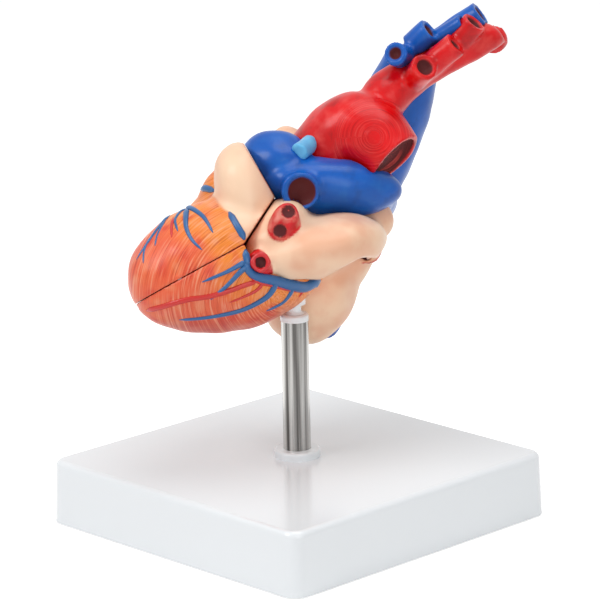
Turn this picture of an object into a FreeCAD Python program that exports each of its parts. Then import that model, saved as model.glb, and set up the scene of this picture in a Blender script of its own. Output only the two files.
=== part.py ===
import FreeCAD, Part
import os
import re

import Sketcher
from FreeCAD import Placement, Rotation, Vector

# Human heart anatomy model on a stand. The heart is two bonded halves: a rear half that
# carries the atria and great vessels, and a front wall that lifts off to show the chambers.
# Row frame: Z up, origin under the middle of the base, base sides along X and Y.
# Heart frame: x from the apex end to the vessel end, y from the heart's left side to its
# right side, z up when its left side is looked at. HEART places that frame on the stand.

SIZES = {
    # stand
    "base_side": 130.0,
    "base_height": 23.5,
    "base_draft": 1.8,
    "base_corner": 6.0,
    "base_edge": 2.4,
    "base_wall": 3.0,
    "base_deck": 3.2,
    "rib_thickness": 2.4,
    "rib_depth": 14.0,
    "boss_diameter": 20.0,
    "foot_boss_diameter": 15.0,
    "foot_inset": 13.0,
    "foot_diameter": 12.0,
    "foot_thickness": 2.2,
    "foot_proud": 0.5,
    "rod_diameter": 5.0,
    "rod_clearance": 0.15,
    "rod_tail": 3.5,
    "nut_height": 4.0,
    "nut_flats": 8.0,
    "washer_diameter": 12.0,
    "washer_height": 1.0,
    "nut_pocket_diameter": 13.0,
    "nut_pocket_depth": 8.0,
    "collar_diameter": 17.0,
    "collar_height": 3.0,
    "collar_neck_diameter": 12.6,
    "collar_neck_depth": 3.0,
    "collar_floor": 1.4,
    "tube_diameter": 10.0,
    "tube_wall": 0.8,
    "tube_length": 53.0,
    "tube_clearance": 0.05,
    "cap_diameter": 10.4,
    "cap_height": 2.6,
    "edge_round": 1.0,
    "cap_plug_length": 15.0,
    "rod_grip": 7.0,
    "spigot_diameter": 5.0,
    "spigot_clearance": 0.05,
    "spigot_journal": 6.5,
    "spigot_shoulder_diameter": 7.2,
    "spigot_shoulder_height": 0.9,
    "spigot_exposed": 3.6,
    "spigot_chamfer": 0.6,
    "bush_diameter": 8.4,
    "bush_length": 13.0,
    "bush_bore_depth": 11.0,
    # how the heart stands on the spigot
    "heart_heading": 46.0,
    "heart_tilt": 15.0,
    "heart_roll": -1.2,
    # heart walls
    "left_ventricle_length": 77.0,
    "left_ventricle_width": 48.0,
    "left_wall": 9.0,
    "right_ventricle_length": 58.0,
    "right_ventricle_height": 48.0,
    "right_ventricle_width": 54.0,
    "right_wall": 4.5,
    "conus_diameter": 25.0,
    "conus_low_diameter": 26.0,
    "left_atrium_length": 54.0,
    "left_atrium_width": 58.0,
    "left_atrium_height": 25.0,
    "left_vein_lobe_length": 27.0,
    "left_vein_lobe_width": 23.0,
    "left_vein_lobe_depth": 44.0,
    "vein_lobe_diameter": 17.0,
    "atrium_wall": 4.5,
    "right_atrium_length": 43.0,
    "right_atrium_width": 33.0,
    "right_atrium_upper_length": 46.0,
    "right_atrium_upper_width": 28.0,
    "left_auricle_length": 36.6,
    "left_auricle_width": 21.6,
    "left_auricle_depth": 30.0,
    "right_auricle_length": 36.0,
    "right_auricle_width": 20.0,
    "septum_depth": 9.0,
    "parting_gap": 0.3,
    "mitral_diameter": 13.0,
    "tricuspid_diameter": 14.0,
    "aortic_outflow_diameter": 8.6,
    "pulmonary_outflow_diameter": 16.0,
    "leaflet_thickness": 1.2,
    "leaflet_length": 9.0,
    "leaflet_taper": 4.0,
    "leaflet_gap": 1.2,
    "cusp_thickness": 1.0,
    "cusp_gap": 0.4,
    "cusp_depth": 1.6,
    "papillary_diameter": 8.0,
    "papillary_tip_diameter": 3.4,
    "chorda_diameter": 0.9,
    # great vessels, outside diameters
    "aorta_root_diameter": 25.0,
    "aorta_diameter": 27.0,
    "arch_diameter": 28.6,
    "descending_diameter": 25.6,
    "descending_end_diameter": 23.2,
    "neck_base_diameter": 17.6,
    "neck_diameter": 16.6,
    "brachiocephalic_artery_diameter": 12.6,
    "subclavian_right_diameter": 10.4,
    "carotid_right_diameter": 9.4,
    "subclavian_left_diameter": 9.8,
    "carotid_left_diameter": 8.8,
    "pulmonary_root_diameter": 23.4,
    "trunk_root_diameter": 19.6,
    "trunk_bulb_length": 30.0,
    "pulmonary_trunk_diameter": 25.0,
    "pulmonary_fork_length": 52.0,
    "pulmonary_fork_height": 21.0,
    "pulmonary_fork_depth": 27.0,
    "right_pulmonary_diameter": 20.0,
    "right_pulmonary_end_diameter": 18.0,
    "left_pulmonary_diameter": 13.6,
    "cava_root_diameter": 21.0,
    "cava_diameter": 24.0,
    "cava_top_diameter": 20.0,
    "brachiocephalic_vein_left_diameter": 8.4,
    "jugular_left_diameter": 9.2,
    "brachiocephalic_vein_right_diameter": 9.8,
    "jugular_right_diameter": 5.8,
    "inferior_cava_diameter": 17.0,
    "ligament_diameter": 6.4,
    "vein_upper_height": 15.0,
    "vein_upper_width": 9.6,
    "vein_lower_diameter": 9.0,
    "vein_bore": 5.2,
    "vein_right_diameter": 9.0,
    "vessel_wall": 1.7,
    "recess_depth": 3.0,
    "root_depth": 4.0,
    # fastenings between the halves
    "magnet_diameter": 5.0,
    "magnet_height": 2.5,
    "dowel_diameter": 2.5,
    "dowel_length": 8.0,
    "dowel_proud": 4.0,
    "dowel_clearance": 0.15,
}

# Places in the heart frame, in millimetres.
PLACES = {
    "left_ventricle": (11.912, -0.833, 23.1395),
    "left_chamber": (-0.696, -5.111, 20.2965),
    "right_ventricle": (17.99, 10.0, 33.015),
    "conus": (-18.5, 2.0, 41.5),
    "conus_low": (-24.0, 6.0, 32.0),
    "left_atrium": (7.0, -9.0, 18.8),
    "left_atrium_chamber": (6.5, -9.0, 19.6),
    "left_vein_lobe": (-4.5, -12.0, 24.6),
    "upper_vein_lobe": (27.5, 6.0, 30.5),
    "lower_vein_lobe": (23.5, 7.0, 22.5),
    "right_atrium": (6.5, 22.5, 5.5),
    "right_atrium_upper": (16.5, 23.0, 21.5),
    "left_auricle": (-17.8, -15.0, 39.8),
    "right_auricle": (4.0, 25.0, 49.2),
    "aorta_root": (-1.0, 5.0, 30.0),
    "aorta_rise": (9.0, 5.0, 49.0),
    "aorta_climb": (15.0, 3.0, 57.4),
    "aorta_arch": (21.8, 0.0, 62.4),
    "aorta_turn": (31.0, -4.3, 58.0),
    "aorta_end": (36.0, -6.9, 51.7),
    "neck_base": (28.5, 1.0, 66.5),
    "neck_top": (38.0, 4.0, 79.6),
    "artery_fork": (55.0, 6.0, 89.3),
    "subclavian_bend": (67.0, 8.0, 95.6),
    "subclavian_right_end": (73.0, 20.0, 97.0),
    "carotid_right_end": (65.3, -0.5, 101.8),
    "subclavian_left_start": (43.0, 1.0, 81.5),
    "subclavian_left_end": (47.0, -9.0, 85.2),
    "carotid_left_start": (46.0, 1.0, 83.5),
    "carotid_left_end": (58.2, -5.0, 93.4),
    "pulmonary_root": (-12.4, -1.0, 48.0),
    "pulmonary_trunk": (-5.8, -4.0, 49.5),
    "pulmonary_fork": (13.0, -7.0, 42.0),
    "right_pulmonary_bend": (25.6, 1.0, 41.4),
    "right_pulmonary_end": (29.0, 36.0, 38.0),
    "left_pulmonary_start": (1.6, -10.0, 43.0),
    "left_pulmonary_end": (2.5, -22.5, 40.0),
    "cava_root": (21.5, 24.0, 34.0),
    "cava_middle": (39.8, 20.0, 79.0),
    "cava_top": (43.2, 16.0, 89.0),
    "vein_left_start": (42.5, 12.0, 88.5),
    "vein_left_end": (36.4, -7.5, 90.0),
    "jugular_left_start": (42.5, 5.0, 93.5),
    "jugular_left_end": (49.2, 1.5, 99.0),
    "vein_right_end": (67.8, 8.0, 105.4),
    "jugular_right_start": (51.0, 5.0, 96.0),
    "jugular_right_end": (61.0, -0.5, 102.0),
    "inferior_cava_end": (9.8, 40.5, -6.8),
    "ligament_start": (7.0, -5.0, 58.5),
    "ligament_end": (1.5, -15.5, 54.0),
    "vein_upper": (-3.5, -32.0, 28.6),
    "vein_upper_hole_a": (-2.0, -37.0, 32.6),
    "vein_upper_hole_b": (-4.9, -37.0, 25.7),
    "vein_lower": (-11.6, -30.0, 13.8),
    "vein_lower_hole": (-12.0, -35.0, 14.6),
    "vein_right_upper_end": (31.0, 17.0, 32.0),
    "vein_right_lower_end": (28.0, 14.0, 18.0),
}

# Inner places: valves, papillary muscles and fastenings.
INNER = {
    "mitral": (-15.0, -13.0, 15.5),
    "aortic": (-15.0, 0.5, 17.0),
    "tricuspid": (-7.0, 19.5, 13.0),
    "papillary_front_foot": (15.5837, -5.4061, 16.3328),
    "papillary_front_tip": (13.6456, -3.3829, 20.3614),
    "papillary_back_foot": (10.9658, 7.4872, 12.9345),
    "papillary_back_tip": (11.1344, 4.3004, 19.4874),
    "papillary_right_foot": (-30.0, 22.0, 3.0),
    "papillary_right_tip": (-22.0, 20.5, 11.0),
    "magnet_left": (12.0277, -19.9896, 9.963),
    "magnet_septum": (12.1344, 18.8004, 10.4874),
    "dowel_left": (11.9658, -16.9128, 12.9345),
    "dowel_septum": (12.1792, 16.0672, 13.9832),
}
PLACES.update(INNER)

# Directions in the heart frame.
APEX = Vector(-0.912, -0.342, -0.227)
RIGHT_WALL_AXIS = Vector(0.55, 0, 0.835)
ACROSS_RIGHT_WALL = Vector(-0.835, 0, 0.55)
ATRIUM_AXIS = Vector(-0.22, 0, 0.975)
CAVA_AXIS = Vector(0.39, 0, 0.92)
AURICLE_AXIS = Vector(0.226, 0, -0.974)
RIGHT_AURICLE_AXIS = Vector(-0.55, 0, 0.835)
MITRAL_AXIS = Vector(0.93, 0.28, 0.23)
TRICUSPID_AXIS = Vector(0.95, 0.2, -0.22)
TOWARDS_LEFT = Vector(0, -1, 0)
CONUS_END = Vector(-0.45, 0.2, -0.87)
TRUNK_START = Vector(0.865, 0, 0.502)
AORTA_END = Vector(0.68, -0.27, -0.68)
FORK_AXIS = Vector(1, 0.2, -0.06)
TRUNK_AXIS = Vector(1, -0.2, -0.25)
ARM_END = Vector(0.2, 0.95, 0.1)
LIFT = Vector(-0.643, 0, 0.766)

# Places that stand off from where they are given, so that the valve ends stay put when a
# ventricle is made longer or higher: directions and how far.
RUNS = {
    "left_ventricle": [(APEX, "left_ventricle_length / 2")],
    "left_chamber": [(APEX, "left_ventricle_length / 2 - left_wall")],
    "right_ventricle": [
        (RIGHT_WALL_AXIS, "-right_ventricle_length / 2"), (ACROSS_RIGHT_WALL, "right_ventricle_height / 2")],
    "papillary_front_foot": [(APEX, "0.82 * left_ventricle_length")],
    "papillary_front_tip": [(APEX, "0.65 * left_ventricle_length")],
    "papillary_back_foot": [(APEX, "0.74 * left_ventricle_length")],
    "papillary_back_tip": [(APEX, "0.6 * left_ventricle_length")],
    "magnet_left": [(APEX, "0.57 * left_ventricle_length")],
    "magnet_septum": [(APEX, "0.6 * left_ventricle_length")],
    "dowel_left": [(APEX, "0.74 * left_ventricle_length")],
    "dowel_septum": [(APEX, "0.8 * left_ventricle_length")],
}

# The parting runs across the ventricles, up beside the atria and round the root of the
# pulmonary trunk. Corners are the heart frame's x and z.
SEAM = [(-17.5, 21.0), (-6.6, 38.0)]
SEAM_LOW_END = (-109.0, -29.15)
SEAM_TOP_END = (-48.3, 109.9)
FAR = 150.0
ATRIUM_GROOVE = [(24.0, 17.0), (9.0, 8.8), (-2.0, 8.8), (-12.0, 11.2), (-16.0, 16.0)]

doc = FreeCAD.newDocument("heart_model")
sheet = doc.addObject("Spreadsheet::Sheet", "sizes")
NODES = []


def fill_sheet():
    cells = dict(SIZES)
    for name, place in PLACES.items():
        for axis, start in zip("xyz", place):
            run = "".join(f" + {getattr(along, axis)} * ({words})" for along, words in RUNS.get(name, []))
            cells[f"{name}_at_{axis}"] = f"={start}{run}" if run else start
    for row, (alias, content) in enumerate(cells.items(), 1):
        sheet.set(f"A{row}", alias)
        sheet.set(f"B{row}", str(content))
        sheet.setAlias(f"B{row}", alias)
    doc.recompute()


def formula(words):
    """The same formula with each name pointed at its cell."""
    return re.sub(r"[a-z][a-z_]*(?![a-z_(])", lambda name: "sizes." + name.group(), words)


def value(words):
    return float(sheet.evalExpression(words))


def spot(name):
    return Vector(*(value(f"{name}_at_{axis}") for axis in "xyz"))


def bind(item, **formulas):
    for prop, words in formulas.items():
        item.setExpression(prop.replace("__", "."), formula(words))
    return item


def bind_place(item, name):
    for axis in "xyz":
        item.setExpression(f"Placement.Base.{axis}", f"sizes.{name}_at_{axis}")
    return item


def node(item, label):
    item.Label = label
    NODES.append(item)
    return item


# Building blocks: Part primitives and booleans in the heart frame.

def ellipsoid(name, place, along, length, width=None, depth=None):
    """Its length runs along one direction, its depth stays near the frame's y."""
    item = doc.addObject("Part::Ellipsoid", name)
    item.Angle1, item.Angle2, item.Angle3 = -90, 90, 360
    width = width or length
    bind(item, Radius1=f"({length}) / 2", Radius2=f"({width}) / 2", Radius3=f"({depth or width}) / 2")
    item.Placement.Rotation = Rotation(Vector(0, 0, 1), along)
    return bind_place(item, place)


def rod_between(name, start, end, diameter):
    item = doc.addObject("Part::Cylinder", name)
    item.Placement = Placement(start, Rotation(Vector(0, 0, 1), end - start))
    item.Height = (end - start).Length
    return bind(item, Radius=f"({diameter}) / 2")


def cone_between(name, start, end, first, second):
    item = doc.addObject("Part::Cone", name)
    item.Placement = Placement(start, Rotation(Vector(0, 0, 1), end - start))
    item.Height = (end - start).Length
    return bind(item, Radius1=f"({first}) / 2", Radius2=f"({second}) / 2")


def prism(name, corners, low, high):
    """A prism with its section in the heart frame's x and z, from y = low to y = high."""
    section = doc.addObject("Part::Polygon", name + "_section")
    section.Nodes = [Vector(x, 0, z) for x, z in corners]
    section.Close = True
    item = doc.addObject("Part::Extrusion", name)
    item.Base = section
    item.DirMode = "Custom"
    item.Dir = Vector(0, 1, 0)
    item.LengthRev = -low
    item.LengthFwd = high
    item.Solid = True
    return item


def vessel(name, places, diameters, **headings):
    """A tapering tube lofted through circles that face along the line of places, or as told."""
    spots = [spot(place) for place in places]
    rings = []
    for count, (place, diameter) in enumerate(zip(places, diameters)):
        along = spots[min(count + 1, len(spots) - 1)] - spots[max(count - 1, 0)]
        heading = headings.get(place, along)
        ring = doc.addObject("Part::Circle", f"{name}_ring_{count}")
        ring.Placement.Rotation = Rotation(Vector(0, 0, 1), heading)
        rings.append(bind_place(bind(ring, Radius=f"({diameter}) / 2"), place))
    item = doc.addObject("Part::Loft", name)
    item.Sections = rings
    item.Solid = True
    return item


def fuse(name, *items):
    item = doc.addObject("Part::MultiFuse", name)
    item.Shapes = list(items)
    return item


def cut(name, base, *tools):
    for count, tool in enumerate(tools):
        last = count == len(tools) - 1
        item = doc.addObject("Part::Cut", name if last else f"{name}_step_{count}")
        item.Base = base
        item.Tool = tool
        base = item
    return base


def common(name, first, second):
    item = doc.addObject("Part::Common", name)
    item.Base = first
    item.Tool = second
    return item


def recess(name, place, facing, diameter, depth="recess_depth"):
    """A blind round recess from a vessel's end face inwards."""
    item = doc.addObject("Part::Cylinder", name)
    bind(item, Radius=f"({diameter}) / 2", Height=depth)
    turn = Rotation(Vector(0, 0, 1), facing)
    back = turn.multVec(Vector(0, 0, -value(depth)))
    item.Placement = Placement(spot(place) + back, turn)
    return item


# The stand: turned and moulded bodies, drawn in sketches whose corners are bound to the sheet.

def origin_plane(body, role):
    return next(plane for plane in body.Origin.OriginFeatures if plane.Role == role)


def sketch_on(body, name, role, height=None):
    sketch = body.newObject("Sketcher::SketchObject", name)
    sketch.AttachmentSupport = (origin_plane(body, role), [""])
    sketch.MapMode = "FlatFace"
    if height:
        bind(sketch, AttachmentOffset__Base__z=height)
    return sketch


def dimension(sketch, kind, words, *elements):
    count = sketch.addConstraint(Sketcher.Constraint(kind, *elements, value(words)))
    sketch.setExpression(f"Constraints[{count}]", formula(words))


def outline(sketch, corners):
    """A closed line of straight sides through corners given as pairs of formulas."""
    points = [Vector(value(across), value(up), 0) for across, up in corners]
    for start, end in zip(points, points[1:] + points[:1]):
        sketch.addGeometry(Part.LineSegment(start, end), False)
    for count, (across, up) in enumerate(corners):
        before = (count - 1) % len(corners)
        sketch.addConstraint(Sketcher.Constraint("Coincident", before, 2, count, 1))
        dimension(sketch, "DistanceX", across, -1, 1, count, 1)
        dimension(sketch, "DistanceY", up, -1, 1, count, 1)
    return sketch


def rings(sketch, centres, diameter):
    for count, (across, up) in enumerate(centres):
        centre = Vector(value(across), value(up), 0)
        sketch.addGeometry(Part.Circle(centre, Vector(0, 0, 1), value(diameter) / 2), False)
        dimension(sketch, "DistanceX", across, -1, 1, count, 3)
        dimension(sketch, "DistanceY", up, -1, 1, count, 3)
        dimension(sketch, "Diameter", diameter, count)
    return sketch


def turned(label, corners):
    """A revolved body: corners are pairs of formulas, radius then height."""
    body = doc.addObject("PartDesign::Body", label + "_body")
    profile = outline(sketch_on(body, label + "_profile", "XZ_Plane"), corners)
    doc.recompute()
    turn = body.newObject("PartDesign::Revolution", label + "_turn")
    turn.Profile = profile
    turn.ReferenceAxis = (profile, ["V_Axis"])
    turn.Angle = 360
    return node(body, label)


def circles_at(shape, radius, height):
    """Names of a shape's circular edges of one radius at one height."""
    found = []
    for count, edge in enumerate(shape.Edges, 1):
        if isinstance(edge.Curve, Part.Circle):
            same = abs(edge.Curve.Radius - radius) < 1e-6 and abs(edge.Curve.Center.z - height) < 1e-6
            if same:
                found.append(f"Edge{count}")
    return found


def round_off(body, kind, radius, height, size):
    doc.recompute()
    carrier = body.Tip
    edge = body.newObject(kind, body.Name + "_edge")
    edge.Base = (carrier, circles_at(carrier.Shape, value(radius), value(height)))
    bind(edge, **{"Radius" if kind.endswith("Fillet") else "Size": size})
    body.Tip = edge
    return body


# Heights of the stand, each from the one below.
BASE_TOP = "foot_proud + base_height"
DECK_UNDER = f"{BASE_TOP} - base_deck"
COLLAR_FOOT = f"{BASE_TOP} - collar_neck_depth"
TUBE_FOOT = f"{COLLAR_FOOT} + collar_floor"
TUBE_TOP = f"{TUBE_FOOT} + tube_length"
CAP_TOP = f"{TUBE_TOP} + cap_height"
PLUG_FOOT = f"{TUBE_TOP} - cap_plug_length"
JOURNAL_FOOT = f"{CAP_TOP} - spigot_journal"
HEART_FOOT = f"{CAP_TOP} + spigot_exposed"
SPIGOT_TOP = f"{HEART_FOOT} + bush_bore_depth"
BOSS_FOOT = f"{DECK_UNDER} - rib_depth"
WASHER_TOP = f"{BOSS_FOOT} + nut_pocket_depth"
NUT_TOP = f"{WASHER_TOP} - washer_height"
ROD_FOOT = f"{NUT_TOP} - nut_height - rod_tail"
ROD_TOP = f"{PLUG_FOOT} + rod_grip"
ROD_HOLE = "rod_diameter + 2 * rod_clearance"


def pad(body, sketch, length, reverse=False):
    feature = body.newObject("PartDesign::Pad", sketch.Name + "_pad")
    feature.Profile = sketch
    feature.Reversed = reverse
    bind(feature, Length=length)
    body.Tip = feature
    return feature


def pocket(body, sketch, length, reverse=True):
    feature = body.newObject("PartDesign::Pocket", sketch.Name + "_pocket")
    feature.Profile = sketch
    feature.Reversed = reverse
    bind(feature, Length=length)
    body.Tip = feature
    return feature


def square(sketch, half):
    back = f"-({half})"
    return outline(sketch, [(back, back), (half, back), (half, half), (back, half)])


def four_corners(inset):
    return [(f"{a} * ({inset})", f"{b} * ({inset})") for a in (-1, 1) for b in (-1, 1)]


def make_base():
    """A hollow moulding: drafted skirt, deck, crossed ribs and a boss for the tie rod."""
    body = doc.addObject("PartDesign::Body", "base_body")
    skirt = square(sketch_on(body, "skirt", "XY_Plane", "foot_proud"), "base_side / 2")
    shell = pad(body, skirt, "base_height")
    bind(shell, TaperAngle="-base_draft")
    doc.recompute()
    upright = [f"Edge{count}" for count, edge in enumerate(shell.Shape.Edges, 1)
               if edge.BoundBox.ZLength > value("base_height") / 2]
    corners = body.newObject("PartDesign::Fillet", "skirt_corners")
    corners.Base = (shell, upright)
    bind(corners, Radius="base_corner")
    doc.recompute()
    top = max(corners.Shape.Faces, key=lambda face: face.CenterOfMass.z)
    top_name = f"Face{[face.isSame(top) for face in corners.Shape.Faces].index(True) + 1}"
    edge = body.newObject("PartDesign::Fillet", "deck_edge")
    edge.Base = (corners, [top_name])
    bind(edge, Radius="base_edge")
    body.Tip = edge
    doc.recompute()
    inside = "base_side / 2 - base_wall"
    hollow = sketch_on(body, "hollow", "XY_Plane", "foot_proud")
    pocket(body, square(hollow, inside), f"{BOSS_FOOT} - foot_proud")
    for across in (-1, 1):
        for up in (-1, 1):
            bay = sketch_on(body, f"bay_{across + 1}{up + 1}", "XY_Plane", BOSS_FOOT)
            near_x, far_x = f"{across} * rib_thickness / 2", f"{across} * ({inside} - base_draft)"
            near_y, far_y = f"{up} * rib_thickness / 2", f"{up} * ({inside} - base_draft)"
            outline(bay, [(near_x, near_y), (far_x, near_y), (far_x, far_y), (near_x, far_y)])
            pocket(body, bay, "rib_depth")
    boss = rings(sketch_on(body, "boss", "XY_Plane", BOSS_FOOT), [("0", "0")], "boss_diameter")
    pad(body, boss, "rib_depth")
    feet = four_corners("base_side / 2 - foot_inset")
    pillars = rings(sketch_on(body, "pillars", "XY_Plane", "foot_proud"), feet, "foot_boss_diameter")
    pad(body, pillars, f"{DECK_UNDER} - foot_proud")
    seats = rings(sketch_on(body, "foot_seats", "XY_Plane", "foot_proud"), feet, "foot_diameter")
    pocket(body, seats, "foot_thickness - foot_proud")
    nut_seat = rings(sketch_on(body, "nut_seat", "XY_Plane", BOSS_FOOT), [("0", "0")], "nut_pocket_diameter")
    pocket(body, nut_seat, "nut_pocket_depth")
    rod_way = rings(sketch_on(body, "rod_way", "XY_Plane", BOSS_FOOT), [("0", "0")], ROD_HOLE)
    pocket(body, rod_way, "base_deck + rib_depth")
    neck_seat = sketch_on(body, "neck_seat", "XY_Plane", COLLAR_FOOT)
    pocket(body, rings(neck_seat, [("0", "0")], "collar_neck_diameter"), "collar_neck_depth")
    node(body, "base_plate")


def make_feet():
    body = doc.addObject("PartDesign::Body", "feet_body")
    feet = four_corners("base_side / 2 - foot_inset")
    body.AllowCompound = True
    pad(body, rings(sketch_on(body, "foot_discs", "XY_Plane"), feet, "foot_diameter"), "foot_thickness")
    node(body, "base_feet")


def make_post():
    bore = "tube_diameter / 2 - tube_wall"
    rod = "rod_diameter / 2"
    shank = f"({ROD_HOLE}) / 2"
    collar_bore = "tube_diameter / 2 + tube_clearance"
    collar_top = f"{BASE_TOP} + collar_height"
    collar = turned("base_collar", [
        (shank, COLLAR_FOOT), ("collar_neck_diameter / 2", COLLAR_FOOT), ("collar_neck_diameter / 2", BASE_TOP),
        ("collar_diameter / 2", BASE_TOP), ("collar_diameter / 2", collar_top), (collar_bore, collar_top),
        (collar_bore, TUBE_FOOT), (shank, TUBE_FOOT)])
    round_off(collar, "PartDesign::Fillet", "collar_diameter / 2", collar_top, "edge_round")
    turned("post_tube", [
        (bore, TUBE_FOOT), ("tube_diameter / 2", TUBE_FOOT), ("tube_diameter / 2", TUBE_TOP), (bore, TUBE_TOP)])
    turned("tie_rod", [("0", ROD_FOOT), (rod, ROD_FOOT), (rod, ROD_TOP), ("0", ROD_TOP)])
    turned("clamp_washer", [
        (shank, NUT_TOP), ("washer_diameter / 2", NUT_TOP), ("washer_diameter / 2", WASHER_TOP),
        (shank, WASHER_TOP)])
    nut = doc.addObject("PartDesign::Body", "nut_body")
    nut_foot = f"{NUT_TOP} - nut_height"
    hexagon = sketch_on(nut, "hexagon", "XY_Plane", nut_foot)
    corner = "nut_flats / 2 / cos(30)"
    half_side = "nut_flats / 4 / cos(30)"
    outline(hexagon, [
        (corner, "0"), (half_side, "nut_flats / 2"), (f"-({half_side})", "nut_flats / 2"),
        (f"-({corner})", "0"), (f"-({half_side})", "-nut_flats / 2"), (half_side, "-nut_flats / 2")])
    pad(nut, hexagon, "nut_height")
    thread = rings(sketch_on(nut, "thread", "XY_Plane", nut_foot), [("0", "0")], "rod_diameter")
    pocket(nut, thread, "nut_height")
    node(nut, "clamp_nut")
    plug = f"{bore} - tube_clearance"
    journal = "spigot_diameter / 2 + spigot_clearance"
    journal_end = f"{JOURNAL_FOOT} - spigot_clearance"
    cap = turned("post_cap", [
        (rod, PLUG_FOOT), (plug, PLUG_FOOT), (plug, TUBE_TOP), ("cap_diameter / 2", TUBE_TOP),
        ("cap_diameter / 2", CAP_TOP), (journal, CAP_TOP), (journal, journal_end), ("0", journal_end),
        ("0", ROD_TOP), (rod, ROD_TOP)])
    round_off(cap, "PartDesign::Fillet", "cap_diameter / 2", CAP_TOP, "edge_round")
    pin = "spigot_diameter / 2"
    shoulder_foot = f"{CAP_TOP} + spigot_clearance"
    shoulder_top = f"{shoulder_foot} + spigot_shoulder_height"
    spigot = turned("spigot_pin", [
        ("0", JOURNAL_FOOT), (pin, JOURNAL_FOOT), (pin, shoulder_foot),
        ("spigot_shoulder_diameter / 2", shoulder_foot), (pin, shoulder_top), (pin, SPIGOT_TOP),
        ("0", SPIGOT_TOP)])
    round_off(spigot, "PartDesign::Chamfer", "spigot_diameter / 2", SPIGOT_TOP, "spigot_chamfer")
    turned("socket_bush", [
        (journal, HEART_FOOT), ("bush_diameter / 2", HEART_FOOT),
        ("bush_diameter / 2", f"{HEART_FOOT} + bush_length"), ("0", f"{HEART_FOOT} + bush_length"),
        ("0", SPIGOT_TOP), (journal, SPIGOT_TOP)])


# The heart.

HEART = (f"placement(vector(0; 0; {formula(HEART_FOOT)}); "
         "rotation(vector(0; 0; 1); sizes.heart_heading) * rotation(vector(1; 0; 0); -sizes.heart_tilt)"
         " * rotation(vector(0; 1; 0); -sizes.heart_roll))")


def heart_node(item, label):
    item.setExpression("Placement", HEART)
    return node(item, label)


def parting_shift():
    """How far the front's prism stands off, so that its gap is the same on both long faces."""
    low_run = Vector(*SEAM[0], 0) - Vector(*SEAM_LOW_END, 0)
    top_run = Vector(*SEAM_TOP_END, 0) - Vector(*SEAM[1], 0)
    first = Vector(-low_run.y, low_run.x, 0).normalize()
    second = Vector(-top_run.y, top_run.x, 0).normalize()
    gap = value("parting_gap")
    spread = first.x * second.y - first.y * second.x
    return Vector(gap * (second.y - first.y) / spread, 0, gap * (first.x - second.x) / spread)


def socket_way():
    """The bush's hole, upright on the stand and so leaning in the heart frame."""
    way = doc.addObject("Part::Cylinder", "socket_way")
    bind(way, Radius="bush_diameter / 2", Height="bush_length + 2 * bush_diameter")
    frame = doc.addObject("App::FeaturePython", "heart_frame")
    frame.addProperty("App::PropertyPlacement", "Placement")
    frame.setExpression("Placement", HEART)
    doc.recompute()
    inverse = frame.Placement.inverse()
    low = Vector(0, 0, value(HEART_FOOT) - 2 * value("bush_diameter"))
    way.Placement = inverse * Placement(low, Rotation())
    return way


def make_forms():
    """Outer forms of the chambers, before they are parted and hollowed."""
    left = ellipsoid("left_ventricle", "left_ventricle", APEX, "left_ventricle_length", "left_ventricle_width")
    right = ellipsoid("right_ventricle", "right_ventricle", RIGHT_WALL_AXIS, "right_ventricle_length",
                      "right_ventricle_height", "right_ventricle_width")
    right_low = ellipsoid("right_ventricle_low", "right_ventricle", ACROSS_RIGHT_WALL, "right_ventricle_height",
                          "right_ventricle_length", "right_ventricle_width")
    conus = vessel("conus", ["pulmonary_root", "conus", "conus_low"],
                   ["pulmonary_root_diameter", "conus_diameter", "conus_low_diameter"],
                   pulmonary_root=TRUNK_START * -1, conus_low=CONUS_END)
    lobes = [ellipsoid("left_atrium_form", "left_atrium", ATRIUM_AXIS, "left_atrium_height",
                       "left_atrium_length", "left_atrium_width")]
    lobes.append(ellipsoid("left_vein_lobe", "left_vein_lobe", CAVA_AXIS, "left_vein_lobe_length",
                           "left_vein_lobe_width", "left_vein_lobe_depth"))
    for lobe in ("upper_vein_lobe", "lower_vein_lobe"):
        lobes.append(ellipsoid(lobe, lobe, TOWARDS_LEFT, "vein_lobe_diameter"))
    low = ellipsoid("right_atrium_low", "right_atrium", CAVA_AXIS, "right_atrium_length",
                    "right_atrium_width", "right_atrium_width + 1")
    high = ellipsoid("right_atrium_high", "right_atrium_upper", CAVA_AXIS, "right_atrium_upper_length",
                     "right_atrium_upper_width", "right_atrium_upper_width + 1")
    forms = {
        "ventricles": fuse("ventricles", left, right, conus),
        "ventricles_low": fuse("ventricles_low", left, right_low),
        "left": left,
        "left_atrium": fuse("left_atrium_lobes", *lobes),
        "left_lobes": lobes,
        "right": right,
        "right_atrium": fuse("right_atrium_lobes", low, high),
        "right_lobes": [low, high],
    }
    return forms


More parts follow.
